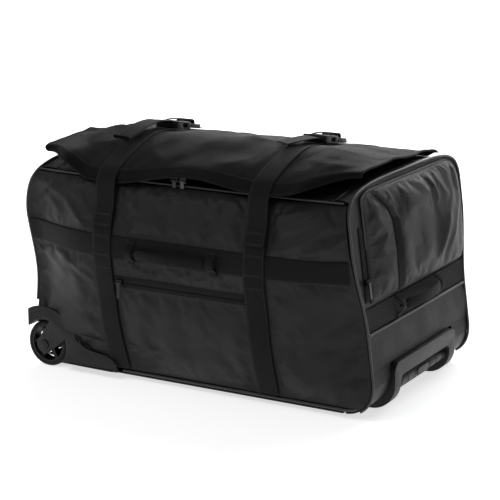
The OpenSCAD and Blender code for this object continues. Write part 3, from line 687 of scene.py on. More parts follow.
def thread_material():
    g = Graph("thread", (0.009, 0.009, 0.0095), 0.6, Sheen_Weight=0.05)
    g.vary_color(g.noise(g.place(), 400, 3), 0.7, 1.3)
    g.bump(g.noise(g.place(), 3000, 2), 0.0001)
    return g.material


CLOTH = coated_cloth()
KICK_CLOTH = coated_cloth("kick_cloth", (0.0065, 0.0066, 0.007), 0.4, 0.13)
FLAP = flap_cloth()
WEB = webbing()
PIPING = coated_cloth("piping_cloth", (0.018, 0.0182, 0.019), 0.3, 0.42)
ZIP = webbing()
ZIP.name = "zip_tape"
PLASTIC = plastic("moulded_plastic", (0.0085, 0.0087, 0.0093), 0.38)
BUCKLE = plastic("buckle_plastic", (0.005, 0.005, 0.0053), 0.3)
TYRE = plastic("tyre_rubber", (0.007, 0.007, 0.007), 0.7, 0.0003, 1200)
TUBE = metal("tube_metal", (0.5, 0.51, 0.53), 0.32)
STEEL = metal("screw_steel", (0.45, 0.45, 0.46), 0.35)
PULL = metal("puller_enamel", (0.03, 0.03, 0.032), 0.35)
THREAD = thread_material()
TEETH = plastic("coil_teeth", (0.016, 0.016, 0.017), 0.35)
GRIP = plastic("grip_plastic", (0.014, 0.0145, 0.0155), 0.36)
BUTTON = plastic("button_plastic", (0.03, 0.031, 0.033), 0.38)
PULL_WORN = metal("puller_worn", (0.06, 0.06, 0.062), 0.4)

# ------------------------------------------------------------------ panels


def sewn(x, z):
    """Near 1 where the straps, the band, the zip or the edges hold a long side's cloth flat."""
    strap = np.exp(-((np.abs(x) - STRAP_X) / 25) ** 6)
    band = 0.93 * np.exp(-((z - (BAND_LOW + BAND_HIGH) / 2) / 23) ** 6)
    zip_line = np.exp(-((z - 198) / 14) ** 4) * ease((150 - np.abs(x)) / 15)
    left, right = housing_edge(z), handle_face(z)
    edge = np.minimum(np.minimum(x - left, right - x), np.minimum(z - SIDE_BOTTOM, SIDE_TOP - z))
    return clamp01(np.maximum.reduce([strap, band, zip_line, 1 - ease(edge / 9)]))


def front_relief(x, z):
    """Broad unevenness of the long sides, outwards in millimetres."""
    return (1 - sewn(x, z)) * (1.5 * ripple(x, z, 230, 3) + 0.7 * ripple(x, z, 70, 5))


def side_points(nu, nv, relief, low=SIDE_BOTTOM, high=SIDE_TOP):
    u, v = unit_grid(nu, nv)
    z = low + (high - low) * v
    left, right = housing_edge(z) + 1, handle_face(z) - 1
    x = -WHEEL_END + (right + WHEEL_END) * u + (left + WHEEL_END) * (1 - u) ** 3
    return np.stack([x, -side(x, z) - relief(x, z), z], 2)


def side_cloths():
    """The long sides' cloth, wrinkled by simulation between the lines that hold it."""
    relief = lambda x, z: front_relief(x, z) + folds(x, z, FRONT_FOLDS) * (1 - sewn(x, z))
    points = side_points(151, 85, relief)
    points = wrinkled(points, sewn(points[..., 0], points[..., 2]), 0.03, 2.0, 7, 2.0)
    for sign, name in ((1, "front"), (-1, "back")):
        piece = shell(name + "_cloth", points * [1, sign, 1], CLOTH_T, CLOTH, "bag",
                      [name + "_panel"], flip=sign < 0)
        soften(piece)


def soften(piece):
    """One smooth subdivision, applied."""
    modifier = piece.modifiers.new("soft", "SUBSURF")
    modifier.levels = modifier.render_levels = 1
    made = bpy.data.meshes.new_from_object(piece.evaluated_get(bpy.context.evaluated_depsgraph_get()))
    piece.modifiers.clear()
    piece.data = made


FRONT_FOLDS = [
    (-300, 335, -250, 300, 7, 3.4, 5), (-285, 348, -225, 318, 6, 3.0, 4),
    (-262, 355, -190, 330, 6, 3.0, 3),
    (-240, 340, -196, 295, 6, 3.2, -5), (-225, 330, -190, 285, 5, 2.6, -4), (-300, 300, -262, 268, 9, 2.4, 3),
    (178, 286, 285, 345, 8, 9.2, -9), (190, 320, 275, 360, 7, 7.8, -6), (200, 285, 300, 300, 10, 6.9, -4),
    (180, 345, 250, 362, 6, 4.4, -3), (230, 290, 318, 330, 9, 7.8, -8), (-128, 352, -118, 300, 6, 3.0, 3),
    (-100, 358, -92, 318, 6, 2.6, 3), (-70, 360, -30, 340, 8, 2.0, 3), (20, 360, 110, 335, 9, 2.4, -4),
    (120, 350, 60, 300, 9, 2.2, 5), (-210, 120, -170, 40, 13, 2.4, 6), (-230, 150, -185, 80, 11, 2.2, 6),
    (-320, 220, -240, 190, 10, 2.4, 4), (-330, 180, -250, 160, 12, 2.2, 4),
    (-300, 235, -200, 205, 9, 2.0, 5),
    (180, 90, 250, 40, 16, 2.4, 6), (-100, 110, 10, 60, 20, 2.6, 8), (20, 120, 120, 70, 18, 2.2, 8),
    (190, 200, 300, 120, 20, 2.2, 8), (-60, 150, 90, 140, 16, 1.6, 6),
]


def end_points(face, half, z0, z1, ny, nz, relief=lambda y, z: 0):
    u, v = np.meshgrid(np.linspace(-1, 1, ny), np.linspace(0, 1, nz), indexing="ij")
    z = z0 + (z1 - z0) * v
    y = half(z) * u
    return np.stack([face(z) + relief(y, z), y, z], 2)


def wheel_end_cloth():
    low_half = lambda z: np.full_like(z, 174.0)
    high_half = lambda z: end_half(z) - tuck(-WHEEL_END, z) - SEAM_GAP
    bulge = lambda y, z: -(4 * ripple(y, z, 220, 11) * 0.4 + 6 * np.sin(np.pi * clamp01((z - 118) / 290))
                           * clamp01(1 - (y / 215) ** 2))
    low = end_points(wheel_face, low_half, TRAY_Z + SEAM_GAP, 118, 60, 30)
    high = end_points(wheel_face, high_half, 118.5, ARCH_TOP, 120, 80, bulge)
    a = shell("wheel_end_low", low, CLOTH_T, CLOTH, "bag", flip=True)
    b = shell("wheel_end_high", high, CLOTH_T, CLOTH, "bag", flip=True)
    piece = join("wheel_end_cloth", [a, b])
    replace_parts(piece, "wheel_end_panel")


def handle_end_cloth():
    half = lambda z: end_half(z) - SEAM_GAP
    points = end_points(handle_face, half, SEAM_Z + 3, ARCH_TOP, 120, 70)
    shell("handle_end_cloth", points, CLOTH_T, CLOTH, "bag", ["handle_end_panel"])


def kick_cloth():
    """Smooth reinforced panel across the bottom of the handle end, open round the moulding."""
    low, high = mm_box("handle_bezel")
    inner = high[1] + 1
    pieces = []
    for sign in (-1, 1):
        u, v = unit_grid(24, 16)
        z = CORNER_R + TRAY_Z + 0.5 + (high[2] + 0.5 - CORNER_R - TRAY_Z) * v
        y = sign * (inner + (BASE_HALF - SEAM_GAP - inner) * u)
        points = np.stack([handle_face(z), y, z], 2)
        pieces.append(shell("kick_low", points, CLOTH_T, KICK_CLOTH, "bag", flip=sign < 0))
    bow = lambda z: np.sin(np.pi * clamp01((z - high[2]) / (SEAM_Z - high[2])))
    swell = lambda y, z: 2.2 * bow(z) + 0.7 * ripple(y, z, 90, 21) * bow(z)
    half = lambda z: np.full_like(z, BASE_HALF - SEAM_GAP)
    points = end_points(handle_face, half, high[2] + 1.5, SEAM_Z - 3, 120, 30, swell)
    pieces.append(shell("kick_high", points, CLOTH_T, KICK_CLOTH, "bag"))
    piece = join("kick_cloth", pieces)
    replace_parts(piece, "end_kick_panel")


POCKET_LOW, POCKET_HIGH = mm_box("end_pocket")
POCKET_TOP = ARCH_TOP - 8
SEAM_AT = ([203, 230, 256, 290, 329, 350, 364, 376, 387], [-84, -87, -89, -87, -85, -98, -116, -134, -153])
POCKET_FOLDS = [
    (-70, 330, 120, 372, 12, 2.6, -8), (-40, 345, 60, 300, 12, 2.6, 8), (20, 372, 60, 320, 9, 3.0, 6),
    (60, 376, 85, 325, 8, 3.4, 5), (90, 372, 130, 330, 9, 3.0, -5), (60, 225, 165, 340, 13, 4.2, 10),
    (100, 225, 188, 320, 10, 3.8, 8), (20, 215, 120, 300, 14, 3.2, -8), (-60, 215, 60, 290, 15, 2.8, -8),
    (-160, 345, -120, 300, 9, 3.0, 6), (-150, 300, -110, 255, 9, 2.6, -5),
    (-165, 250, -120, 215, 10, 2.2, 4),
]


def seam_y(z):
    """The gusset seam that curves down the left of the end pocket."""
    return np.interp(z, *SEAM_AT)


def pocket_grid(nu, nv):
    u, v = unit_grid(nu, nv)
    z = POCKET_LOW[2] + (POCKET_TOP - POCKET_LOW[2]) * v
    left = -np.minimum(-POCKET_LOW[1] - 1, end_half(z + 5) - 24)
    right = end_half(z + 5) - 15
    y = left + (right - left) * u
    rim = (clamp01(1 - np.abs(2 * u - 1) ** 12) * clamp01(1 - np.abs(2 * v - 1) ** 12)) ** 0.5
    gusset = y - seam_y(z)
    swell = 13 * np.sin(np.pi * clamp01(0.1 + 0.9 * v) ** 0.8) * clamp01(1 - ((y - 20) / 215) ** 4)
    step = 5 * ease((gusset + 2) / 12) - 3.5 * np.exp(-(gusset / 4) ** 2)
    relief = folds(y, z, POCKET_FOLDS) + 0.9 * ripple(y, z, 90, 31)
    out = 1.5 + rim * (3 + swell + step + relief * (1 - np.exp(-(gusset / 9) ** 2)))
    return np.stack([handle_face(z) + out, y, z], 2), rim, gusset


def end_pocket_cloth():
    """Padded pocket that fills the end's arch, with its gusset seam and edge piping."""
    points, rim, gusset = pocket_grid(131, 81)
    pinned = clamp01(np.maximum(1 - rim, 0.9 * np.exp(-(gusset / 6) ** 4)))
    points = wrinkled(points, pinned, 0.016, 2.5, 5, 12.0)
    piece = shell("end_pocket_cloth", points, 2.5, CLOTH, "bag", ["end_pocket"])
    soften(piece)
    line = []
    for z in np.linspace(POCKET_LOW[2] + 3, POCKET_TOP - 6, 40):
        column = int(round((z - POCKET_LOW[2]) / (POCKET_TOP - POCKET_LOW[2]) * 80))
        row = points[:, column]
        line.append([np.interp(seam_y(z), row[:, 1], row[:, k]) for k in range(3)] + np.array([0.4, 0, 0]))
    sweep("pocket_seam", cord_rings(smooth_path(line, 4), 1.3, (1, 0, 0), 8), ZIP, "bag")
    border = np.concatenate([points[0, 40:], points[1:-1, -1], points[-1, ::-1]])
    path = smooth_path(border[::3] + [0.8, 0, 0], 4)
    sweep("pocket_piping", cord_rings(path, 1.7, (1, 0, 0), 8), PIPING, "bag")


def top_cloth():
    """Top rims beside the main zip, the gussets outside it, and the lid panel inside it."""
    half = mm_box("lid_panel")[1][0]
    low, high = mm_box("top_rim_back")

    def patch(x0, x1, y0, y1, nx, ny, relief=lambda x, y: 0):
        x, y = np.meshgrid(np.linspace(x0, x1, nx), np.linspace(y0, y1, ny), indexing="ij")
        return np.stack([x, y, deck(x, y) + 3 + relief(x, y)], 2)

    shell("rim_back_cloth", patch(low[0], high[0], low[1], high[1] + 2, 90, 6), CLOTH_T,
          CLOTH, "bag", ["top_rim_back"])
    gap = half + 9
    rims = []
    for sign, face in ((1, handle_face), (-1, wheel_face)):
        y = np.linspace(-216, FOLD_Y + 3, 90)
        arch = SHOULDER_Z + ARCH_RISE * (1 - (np.abs(y) / 232) ** ARCH_POWER) ** (1 / ARCH_POWER)
        inner = np.stack([np.full_like(y, sign * gap), y, deck(gap, y) + 3], 1)
        outer = np.stack([face(arch - 4) - sign * 1.5, y, np.maximum(arch - 1.5, deck(gap, y) + 1)], 1)
        share = np.linspace(0, 1, 9)[:, None, None]
        points = inner * (1 - share) + outer * share
        points[..., 2] += 2.5 * np.sin(np.pi * share[..., 0])
        rims.append(shell("rim_end", points, 2.5, CLOTH, "bag", flip=sign < 0))
    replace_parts(join("rim_ends_cloth", rims), "top_rim_ends")
    low, high = mm_box("lid_panel")
    wave = lambda x, y: -1.2 * (1 + ripple(x, y, 110, 41)) * clamp01(1 - (x / half) ** 6)
    shell("lid_cloth", patch(-half, half, low[1], high[1], 140, 100, wave), CLOTH_T,
          CLOTH, "lid", ["lid_panel"])
    gussets = []
    x = np.linspace(float(wheel_face(SIDE_TOP)) + 6, float(handle_face(SIDE_TOP)) - 6, 160)
    for sign in (1, -1):
        reach = 223.5 if sign > 0 else 225
        outer = np.stack([x, -side(x, SIDE_TOP) + 3.2, np.full_like(x, SIDE_TOP + 0.5)], 1)
        inner = np.stack([x, np.full_like(x, -reach), deck(x, reach) + 0.5], 1)
        share = np.linspace(0, 1, 5)[:, None, None]
        points = (inner * share + outer * (1 - share)) * [1, sign, 1]
        gussets.append(shell("gusset", points, 1.2, ZIP, "bag", flip=sign > 0))
    join("top_gussets", gussets)


def arch_path(face, z0, inset, out):
    up = np.concatenate([np.arange(z0, 62, 4.0), np.arange(max(z0, 62), 300, 12.0)])
    turn = np.radians(np.arange(0, 181, 4.0))
    half = BASE_HALF + END_FLARE - inset
    y = -half * np.sign(np.cos(turn)) * np.abs(np.cos(turn)) ** (2 / ARCH_POWER)
    z = SHOULDER_Z + (ARCH_RISE - inset + 3) * np.sin(turn) ** (2 / ARCH_POWER)
    left = np.stack([-end_half(up) + inset, up], 1)
    right = np.stack([end_half(up[::-1]) - inset, up[::-1]], 1)
    yz = np.concatenate([left, np.stack([y, z], 1), right])
    yz = smooth_path(yz, 5)
    if face is wheel_face:
        yz[:, 0] -= np.sign(yz[:, 0]) * tuck(-WHEEL_END, yz[:, 1])
    return np.stack([face(yz[:, 1]) + out, yz[:, 0], yz[:, 1]], 1)


def pipings():
    arches = [
        sweep("arch_handle", cord_rings(arch_path(handle_face, 17, 2, 1.6), PIPING_R, (1, 0, 0)),
              PIPING, "bag"),
        sweep("arch_wheel", cord_rings(arch_path(wheel_face, 121, 2, -1.6), PIPING_R, (1, 0, 0)),
              PIPING, "bag"),
    ]
    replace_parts(join("arch_piping", arches), "end_arch_piping")
    x = np.arange(wheel_face(SIDE_TOP) + 5, handle_face(SIDE_TOP) - 5, 5.0)
    top = np.stack([x, -side(x, SIDE_TOP) + 0.5, np.full_like(x, SIDE_TOP + 2.4)], 1)
    x = np.arange(-152.0, HANDLE_END - CORNER_R + 24, 5.0)
    drop = CORNER_R - np.sqrt(CORNER_R ** 2 - np.maximum(0, x - HANDLE_END + CORNER_R) ** 2)
    base = np.stack([x, -side(x, SIDE_BOTTOM) + 1.5, SIDE_BOTTOM - 3.5 + drop], 1)
    for name, path, node, radius in (("top_edge", top, "side_top_piping", 2.0),
                                     ("base_edge", base, "side_base_piping", 2.8)):
        pair = [sweep(name, cord_rings(path * [1, s, 1], radius, (0, 0, 1)), PIPING, "bag")
                for s in (1, -1)]
        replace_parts(join(name + "_piping", pair), node)
    y = np.arange(-BASE_HALF + 4, BASE_HALF - 3, 6.0)
    seam = np.stack([np.full_like(y, float(handle_face(SEAM_Z))) + 1.8, y, np.full_like(y, SEAM_Z)], 1)
    sweep("seam_piping", cord_rings(seam, 2.6, (0, 0, 1)), PIPING, "bag", ["end_seam_piping"])


# ------------------------------------------------------------------ webbing and flap


def on_side(sign, middle):
    """Place on a long side: s is x, across is z from the middle; sign -1 is the front."""
    def place(s, a, lift):
        z = middle + a
        return np.stack([s, sign * (side(s, z) + lift), z], -1)
    return place


def on_strap(x0, sign):
    """Place on a strap up a long side: s is z."""
    def place(s, a, lift):
        return np.stack([x0 + a, sign * (side(x0 + a, s) + lift), s], -1)
    return place


def on_end(z_mid):
    """Place on the handle end: s is y, across goes up the leaning face."""
    def place(s, a, lift):
        z = z_mid + a
        return np.stack([handle_face(z) + lift * math.cos(LEAN), s, z + lift * math.sin(LEAN)], -1)
    return place


def on_path(points, across, step=4.0):
    """Place along a smooth path: s in millimetres along it, across its width, lift off its outside."""
    path = smooth_path(points, step)
    size = distances(path)
    tangent = unit(np.gradient(path, axis=0))
    width = np.asarray(across, float) - (tangent @ np.asarray(across, float))[:, None] * tangent
    width = unit(width)
    normal = np.cross(tangent, width)

    def place(s, a, lift):
        at = [read_off(s, size, rows) for rows in (path, width, normal)]
        return at[0] + at[1] * np.asarray(a)[..., None] + at[2] * np.asarray(lift)[..., None]
    return place, size[-1]


def bands():
    width = BAND_HIGH - BAND_LOW
    middle = (BAND_LOW + BAND_HIGH) / 2
    section = [(a, h + 0.6) for a, h in web_section(width, WEB_T, 12)]
    stations = np.arange(-WHEEL_END + 3, float(handle_face(260)) - 2, 6.0)
    for sign, name, node in ((-1, "band_front_web", "band_front"), (1, "band_back_web", "band_back")):
        ribbon(name, on_side(sign, middle), stations, section, WEB, "bag", [node])
    width = END_BAND_HIGH - END_BAND_LOW
    middle = (END_BAND_HIGH + END_BAND_LOW) / 2
    reach = float(end_half(middle)) - 5
    ribbon("band_end_web", on_end(middle), np.linspace(-reach, reach, 60),
           [(a, h + 0.4) for a, h in web_section(width, WEB_T, 10)], WEB, "bag",
           ["band_handle_end"])


def lower_straps():
    section = [(a, h + 2.4) for a, h in web_section(STRAP_W, WEB_T, 8)]
    low, high = mm_box("lower_straps")
    pieces, ends, normals = [], [], []
    for x0 in (-STRAP_X, STRAP_X):
        for sign, top in ((-1, 312.0), (1, high[2])):
            place = on_strap(x0, sign)
            pieces.append(ribbon("strap", place, np.linspace(low[2], top, 70), section,
                                 WEB, "bag"))
            edge = STRAP_W / 2 - 3
            runs = [(low[2] + 4, edge, top - 14, edge), (low[2] + 4, -edge, top - 14, -edge)]
            for z in (BAND_LOW + 3, BAND_HIGH - 3, BAND_LOW - 20):
                runs += [(z, -edge, z, edge), (z + 2, -edge, z + 2, edge)]
            e, n = stitch_run(place, runs, 2.4 + WEB_T)
            ends += e
            normals += n
    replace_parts(join("lower_straps_web", pieces), "lower_straps")
    stitches("strap_stitches", ends, normals, "bag")


def flap_grid(xs, count):
    rows = []
    for x in xs:
        path = smooth_path(flap_nodes(x), 3)
        size = distances(path)
        even = np.linspace(0, size[-1], count)
        rows.append(read_off(even, size, path))
    return np.array(rows)


FLAP_FOLDS = [
    (-235, 350, -170, 300, 16, 2.2, 8), (-110, 330, -40, 392, 15, 2.0, 8), (110, 320, 50, 392, 16, 2.2, -8),
    (190, 330, 270, 388, 15, 2.6, -8), (200, 270, 285, 300, 14, 2.2, 6), (-290, 300, -215, 270, 15, 2.0, 6),
    (-60, 250, 60, 262, 18, 1.6, 6), (-285, 210, -210, 240, 16, 1.6, 4), (215, 160, 285, 190, 16, 1.8, 5),
]


def storm_flap():
    """Cloth over the lid, pulled down by the straps and lifting in soft waves between them."""
    xs = np.linspace(FLAP_LOW[0], FLAP_HIGH[0], 211)
    count = 151
    points = flap_grid(xs, count)
    normals = -grid_normals(points)
    points[..., 0] -= 18 * ease((points[..., 1] - 20) / 150) * ease((points[..., 0] - 240) / 58)
    x = points[..., 0]
    s = np.broadcast_to(np.linspace(0, 420, count), x.shape)
    pinned = 1 - np.exp(-((np.abs(x) - STRAP_X) / 26) ** 4)
    waves = 1.6 * ripple(x, s, 150, 51) + 0.7 * ripple(x, s, 55, 52) + 1.3 * folds(x, s, FLAP_FOLDS)
    waves += 3.0 * np.exp(-((s - 268) / 12) ** 2) * clamp01(0.4 + ripple(x, 0 * x, 260, 53))
    hem = ease((s - 372) / 30)
    lift = waves * pinned * ease(s / 30) * (1 - 0.6 * hem) + 1.6 * pinned * np.sin(np.pi * s / 420)
    points = points + normals * (lift + 0.3)[..., None]
    piece = shell("storm_flap_cloth", points, 2.0, FLAP, "lid", ["storm_flap"], flip=True)
    flap_length() * MM
    rim = np.concatenate([points[0, 4:], points[1:-1, -1], points[-1, :3:-1]])
    hem_path = smooth_path(rim[::4], 4) - [0, 0, 1.0]
    sweep("storm_flap_hem", cord_rings(hem_path, 2.3, (0.1, 0.2, 1)), FLAP, "lid")
    seam = points[:, -8] + normals[:, -8] * 0.35
    ends = np.stack([seam[:-1:1] * 0.88 + seam[1::1] * 0.12, seam[:-1:1] * 0.12 + seam[1::1] * 0.88], 1)
    spindles("flap_stitches", ends, 0.9, 0.4, normals[:-1, -8], THREAD, "lid")


def flap_length():
    path = smooth_path(flap_nodes(0.0), 3)
    return float(np.linalg.norm(np.diff(path, axis=0), axis=1).sum())


BUCKLE_Y, BUCKLE_TILT = -50.0, math.radians(10)
BUCKLE_Z = float(crown(152.0)) - 3.2 + WEB_T + 1.0


def in_buckle(x, y, z, side_x):
    """Point of a buckle's own frame in the bag's frame."""
    c, s = math.cos(BUCKLE_TILT), math.sin(BUCKLE_TILT)
    return np.array([side_x + x, BUCKLE_Y + y * c + z * s, BUCKLE_Z - y * s + z * c])


def upper_straps():
    """Straps from the buckles over the crown and down the front, with their free tails."""
    section = web_section(STRAP_W, WEB_T, 8)
    pieces, ends, normals = [], [], []
    long_tail = [(-5, -8, 6), (-9, -30, 10), (-13, -66, 7), (-16, -100, -2), (-18, -124, -10)]
    short_tail = [(-2, -8, 3), (-6, -24, 4), (-14, -44, 3), (-28, -68, 0)]
    for x0, tail in ((-STRAP_X, long_tail), (STRAP_X, short_tail)):
        nodes = flap_nodes(x0)
        run = [(x0, BUCKLE_Y + 3, float(crown(152.0)) - 4.2)] + [tuple(p) for p in nodes[5:9]]
        run += [(x0, -249, 371)]
        run = [(x, y, z + 0.6) for x, y, z in run]
        run += [(x0, -float(side(x0, z)) - 4.8, z) for z in (335, 318, 306, 294)]
        place, size = on_path(run, (1, 0, 0))
        pieces.append(ribbon("strap", place, np.linspace(0, size, 110), [(a, h + 0.5) for a, h in section],
                             WEB, "lid"))
        edge = STRAP_W / 2 - 3
        runs = [(4, edge, size - 4, edge), (4, -edge, size - 4, -edge)]
        runs += [(size - back, -edge, size - back, edge) for back in (3, 5, 22, 24)]
        e, n = stitch_run(place, runs, WEB_T + 0.5)
        ends += e
        normals += n
        start = in_buckle(0, 3, 7, x0)
        path = [tuple(start)] + [tuple(start + np.array(step)) for step in tail]
        turn = (1, 0, 0) if x0 < 0 else (0.9, -0.42, 0)
        place, size = on_path(path, turn)
        pieces.append(ribbon("tail", place, np.linspace(0, size, 60), web_section(36, 1.6, 8),
                             WEB, "lid"))
        if x0 < 0:
            tail_end = lambda s, a, h: place(np.full_like(s, size), a, h + s)
            pieces.append(ribbon("tail_fold", tail_end, np.linspace(0, 4, 4), web_section(36, 3.0, 8),
                                 WEB, "lid"))
    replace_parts(join("upper_straps_web", pieces), "upper_straps")
    stitches("upper_stitches", ends, normals, "lid")


def rear_straps():
    section = [(a, h + 0.5) for a, h in web_section(STRAP_W, WEB_T, 8)]
    pieces = []
    for x0 in (-STRAP_X, STRAP_X):
        nodes = flap_nodes(x0)[3::-1]
        run = [(x0, 31.0, nodes[0][2] + 2.0)] + [tuple(p + [0, 0, 0.4]) for p in nodes]
        place, size = on_path(run, (-1, 0, 0))
        pieces.append(ribbon("strap", place, np.linspace(0, size, 60), section, WEB, "lid"))
    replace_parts(join("rear_straps_web", pieces), "rear_straps")


def buckles():
    """Side release buckles: rounded sockets with a raised rib, ladders with the webbing threaded."""
    for name, x0 in (("left", -STRAP_X), ("right", STRAP_X)):
        bevelled("socket_" + name, 1.7, BUCKLE)
        bevelled("tongue_" + name, 1.2, BUCKLE)
        arc = [in_buckle(x, 27, 14 + 4.2 * math.cos(math.pi * x / 40), x0) for x in np.linspace(-19, 19, 21)]
        sweep("rib_" + name, cord_rings(arc, 1.3, (0, 1, 0)), BUCKLE, "lid")
        for y in (15, 36):
            bar = [in_buckle(x, y, 14, x0) for x in np.linspace(-17, 17, 9)]
            sweep("bar_%s_%d" % (name, y), cord_rings(bar, 0.9, (0, 1, 0)), BUCKLE, "lid")
        loop = [(52, 1.2), (56, 6), (59, 13.5), (64, 16.5), (69, 14.5), (72, 8), (76, 3.4), (86, 2.6),
                (104, 1.8)]
        path = [in_buckle(0, y, z + 1.5, x0) for y, z in loop]
        place, size = on_path(path, (-1, 0, 0), 1.5)
        ribbon("threaded_" + name, place, np.linspace(0, size, 70), web_section(32, 1.5, 6),
               WEB, "tongue_" + name)


# ------------------------------------------------------------------ zips


def zip_teeth(name, place, start, stop, lift, pitch=2.2, reach=2.4):
    """Two interlocking rows of coil teeth across s, from start to stop."""
    made = []
    for k, s in enumerate(np.arange(start, stop, pitch / 2)):
        one = -reach if k % 2 else reach
        made.append(laid(place, np.array([s, s]), np.array([one, -one * 0.25]), lift))
    ends, normals = [end for end, _ in made], [normal for _, normal in made]
    spindles(name, ends, 1.0, 0.8, normals, TEETH, "bag")


def zips():
    low, high = mm_box("front_zip_tape")
    middle = (low[2] + high[2]) / 2
    place = on_side(-1, middle)
    x = np.linspace(low[0], high[0], 80)
    welts = [ribbon("welt", place, x, [(a + shift, h + 1.0) for a, h in web_section(6.6, 1.1, 4)],
                    ZIP, "bag") for shift in (-5, 5)]
    section = [(a, h + 0.3) for a, h in web_section(9, 0.5, 4)]
    base = ribbon("base", place, x, section, ZIP, "bag")
    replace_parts(join("front_zip_web", welts + [base]), "front_zip_tape")
    zip_teeth("front_zip_teeth", place, low[0] + 3, high[0] - 3, 0.8)
    for edge in (-9.3, 9.3):
        path = np.stack([place(s, np.array(edge), np.array(0.8)) for s in x])
        sweep("front_zip_edge_%s" % ("low" if edge < 0 else "high"), cord_rings(path, 1.0, (0, 0, 1), 8),
              CLOTH, "bag")

    low, high = mm_box("end_zip_tape")
    y = (low[1] + high[1]) / 2
    up = lambda s, a, h: np.stack([handle_face(s) + h * math.cos(LEAN), y + a, s + h * math.sin(LEAN)], -1)
    z = np.linspace(low[2], high[2], 40)
    ribbon("end_zip_web", up, z, [(a, h + 0.5) for a, h in web_section(high[1] - low[1], 1.0, 6)],
           ZIP, "bag", ["end_zip_tape"])
    zip_teeth("end_zip_teeth", up, low[2] + 3, high[2] - 3, 1.4)

    half = mm_box("lid_panel")[1][0] + 5
    rear = FOLD_Y - 6
    front, corner = -221.0, 18.0
    turn = np.linspace(0, np.pi / 2, 9)[1:-1]
    right = [(half - corner + corner * math.sin(t), front + corner - corner * math.cos(t)) for t in turn]
    line = [(x, front) for x in np.linspace(0, half - corner, 14)] + right
    line += [(half, y) for y in np.linspace(front + corner, rear, 24)]
    line = [(-x, y) for x, y in line[:0:-1]] + line
    path = [(x, y, float(deck(x, y)) + 1.2) for x, y in line]
    path = smooth_path(path, 5)
    tangent = unit(np.gradient(path, axis=0))
    cross = unit(np.cross(tangent, np.array([0, 0, 1.0])))
    size = distances(path)

    def round_lid(s, a, h):
        at = [read_off(s, size, rows) for rows in (path, cross)]
        return at[0] + at[1] * np.asarray(a)[..., None] + np.asarray(h)[..., None] * np.array([0, 0, 1.0])

    ribbon("main_zip_web", round_lid, np.linspace(0, size[-1], 260), web_section(8.6, 1.1, 6), ZIP, "bag",
           ["main_zip_tape"])
    zip_teeth("main_zip_teeth", round_lid, 4, size[-1] - 4, 1.2)
    nodes = [row + part for row in ("front_zip_", "end_zip_") for part in ("slider", "puller")]
    nodes += ["main_zip_" + part + end for part in ("slider_", "puller_") for end in ("left", "right")]
    for node in nodes:
        look = PULL_WORN if "right" in node else PULL
        bevelled(node, 0.7 if "slider" in node else 0.5, look)


# ------------------------------------------------------------------ grab handles


def grab_handle(name, path, across):
    """One webbing handle along a path, with two rows of stitches."""
    path_place, size = on_path(path, across)

    def place(s, a, lift):
        return path_place(s, a, lift - 1.6)

    rings = handle_rings(place, np.linspace(0, size, 90), size, GRAB_W, GRAB_T)
    sweep(name, rings, WEB, name, [name + "_handle"], smooth_angle=50)
    ends, normals = stitch_run(place, [(25, a, size - 25, a) for a in (6.5, -6.5)], 3.5)
    stitches(name + "_stitches", ends, normals, name)


def grab_handles():
    """Webbing handles that bow away from the bag, and the sewn patches that hold them."""
    low, high = mm_box("front_grab_handle")
    z = (low[2] + high[2]) / 2
    x0, x1 = low[0] + 14, high[0] - 14
    axis_y = -float(side(0, z)) - 10
    bow = 12.0
    share = np.linspace(0, 1, 30)
    path = np.stack([x0 + (x1 - x0) * share, axis_y - 4 * bow * share * (1 - share), np.full(30, z)], 1)
    path = np.concatenate([[[x0 - 13, axis_y, z]], path, [[x1 + 13, axis_y, z]]])
    grab_handle("front_grab", path, (0, 0, 1))

    low, high = mm_box("end_grab_handle")
    y0, y1 = low[1] + 14, high[1] - 14
    z_mid = END_BAND_LOW + 19.0
    on = on_end(z_mid)
    stations = np.concatenate([[y0 - 13], y0 + (y1 - y0) * share, [y1 + 13]])
    lift = np.concatenate([[10.0], 10 + 4 * 16 * share * (1 - share), [10.0]])
    path = np.array([on(np.array(y), np.array(0.0), np.array(h)) for y, h in zip(stations, lift)])
    grab_handle("end_grab", path, (-math.sin(LEAN), 0, math.cos(LEAN)))
    grab_patches(x0, x1, z, y0, y1, z_mid)


def handle_rings(place, stations, size, width, thickness):
    """Webbing handle: rolled narrow inside its loops, folded double, so thicker, in its middle."""
    rings = []
    for s in stations:
        inside = min(s, size - s)
        full = float(ease((inside - 15) / 10))
        section = web_section(5 + (width - 5) * full, 2.4 + (thickness - 2.4) * full, 6)
        a = np.array([p[0] for p in section])
        h = np.array([p[1] for p in section])
        h = h + 0.9 * full * np.where(h > 1, 1 - (2 * a / width) ** 2, 0) + 0.4 * (1 - full)
        rings.append(place(np.full(len(a), s), a, h))
    return rings


def grab_patches(x0, x1, z, y0, y1, z_mid):
    """Webbing loops sewn down above and below each handle end, which turns inside them."""
    pieces, ends, normals = [], [], []
    front, end = on_side(-1, z), on_end(z_mid)
    rise = [(-20, 2.4), (-15, 2.6), (-11, 7), (-7, 12.4), (0, 14.8), (7, 12.4), (11, 7), (15, 2.6),
            (20, 2.4)]
    for place, at, across in ((front, x0 - 7, (-1, 0, 0)), (front, x1 + 7, (-1, 0, 0)),
                              (end, y0 - 7, (0, -1, 0)), (end, y1 + 7, (0, -1, 0))):
        path = [place(np.array(at), np.array(float(up)), np.array(h)) for up, h in rise]
        over, size = on_path(path, across, 1.5)
        pieces.append(ribbon("patch", over, np.linspace(0, size, 60), web_section(15, 1.3, 6), WEB, "bag"))
        runs = [(back, -6, back, 6) for back in (1.5, 3.5, size - 3.5, size - 1.5)]
        e, n = stitch_run(over, runs, 1.3)
        ends += e
        normals += n
    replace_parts(join("grab_patches", pieces), "grab_anchors")
    stitches("patch_stitches", ends, normals, "bag")


# ------------------------------------------------------------------ hard parts


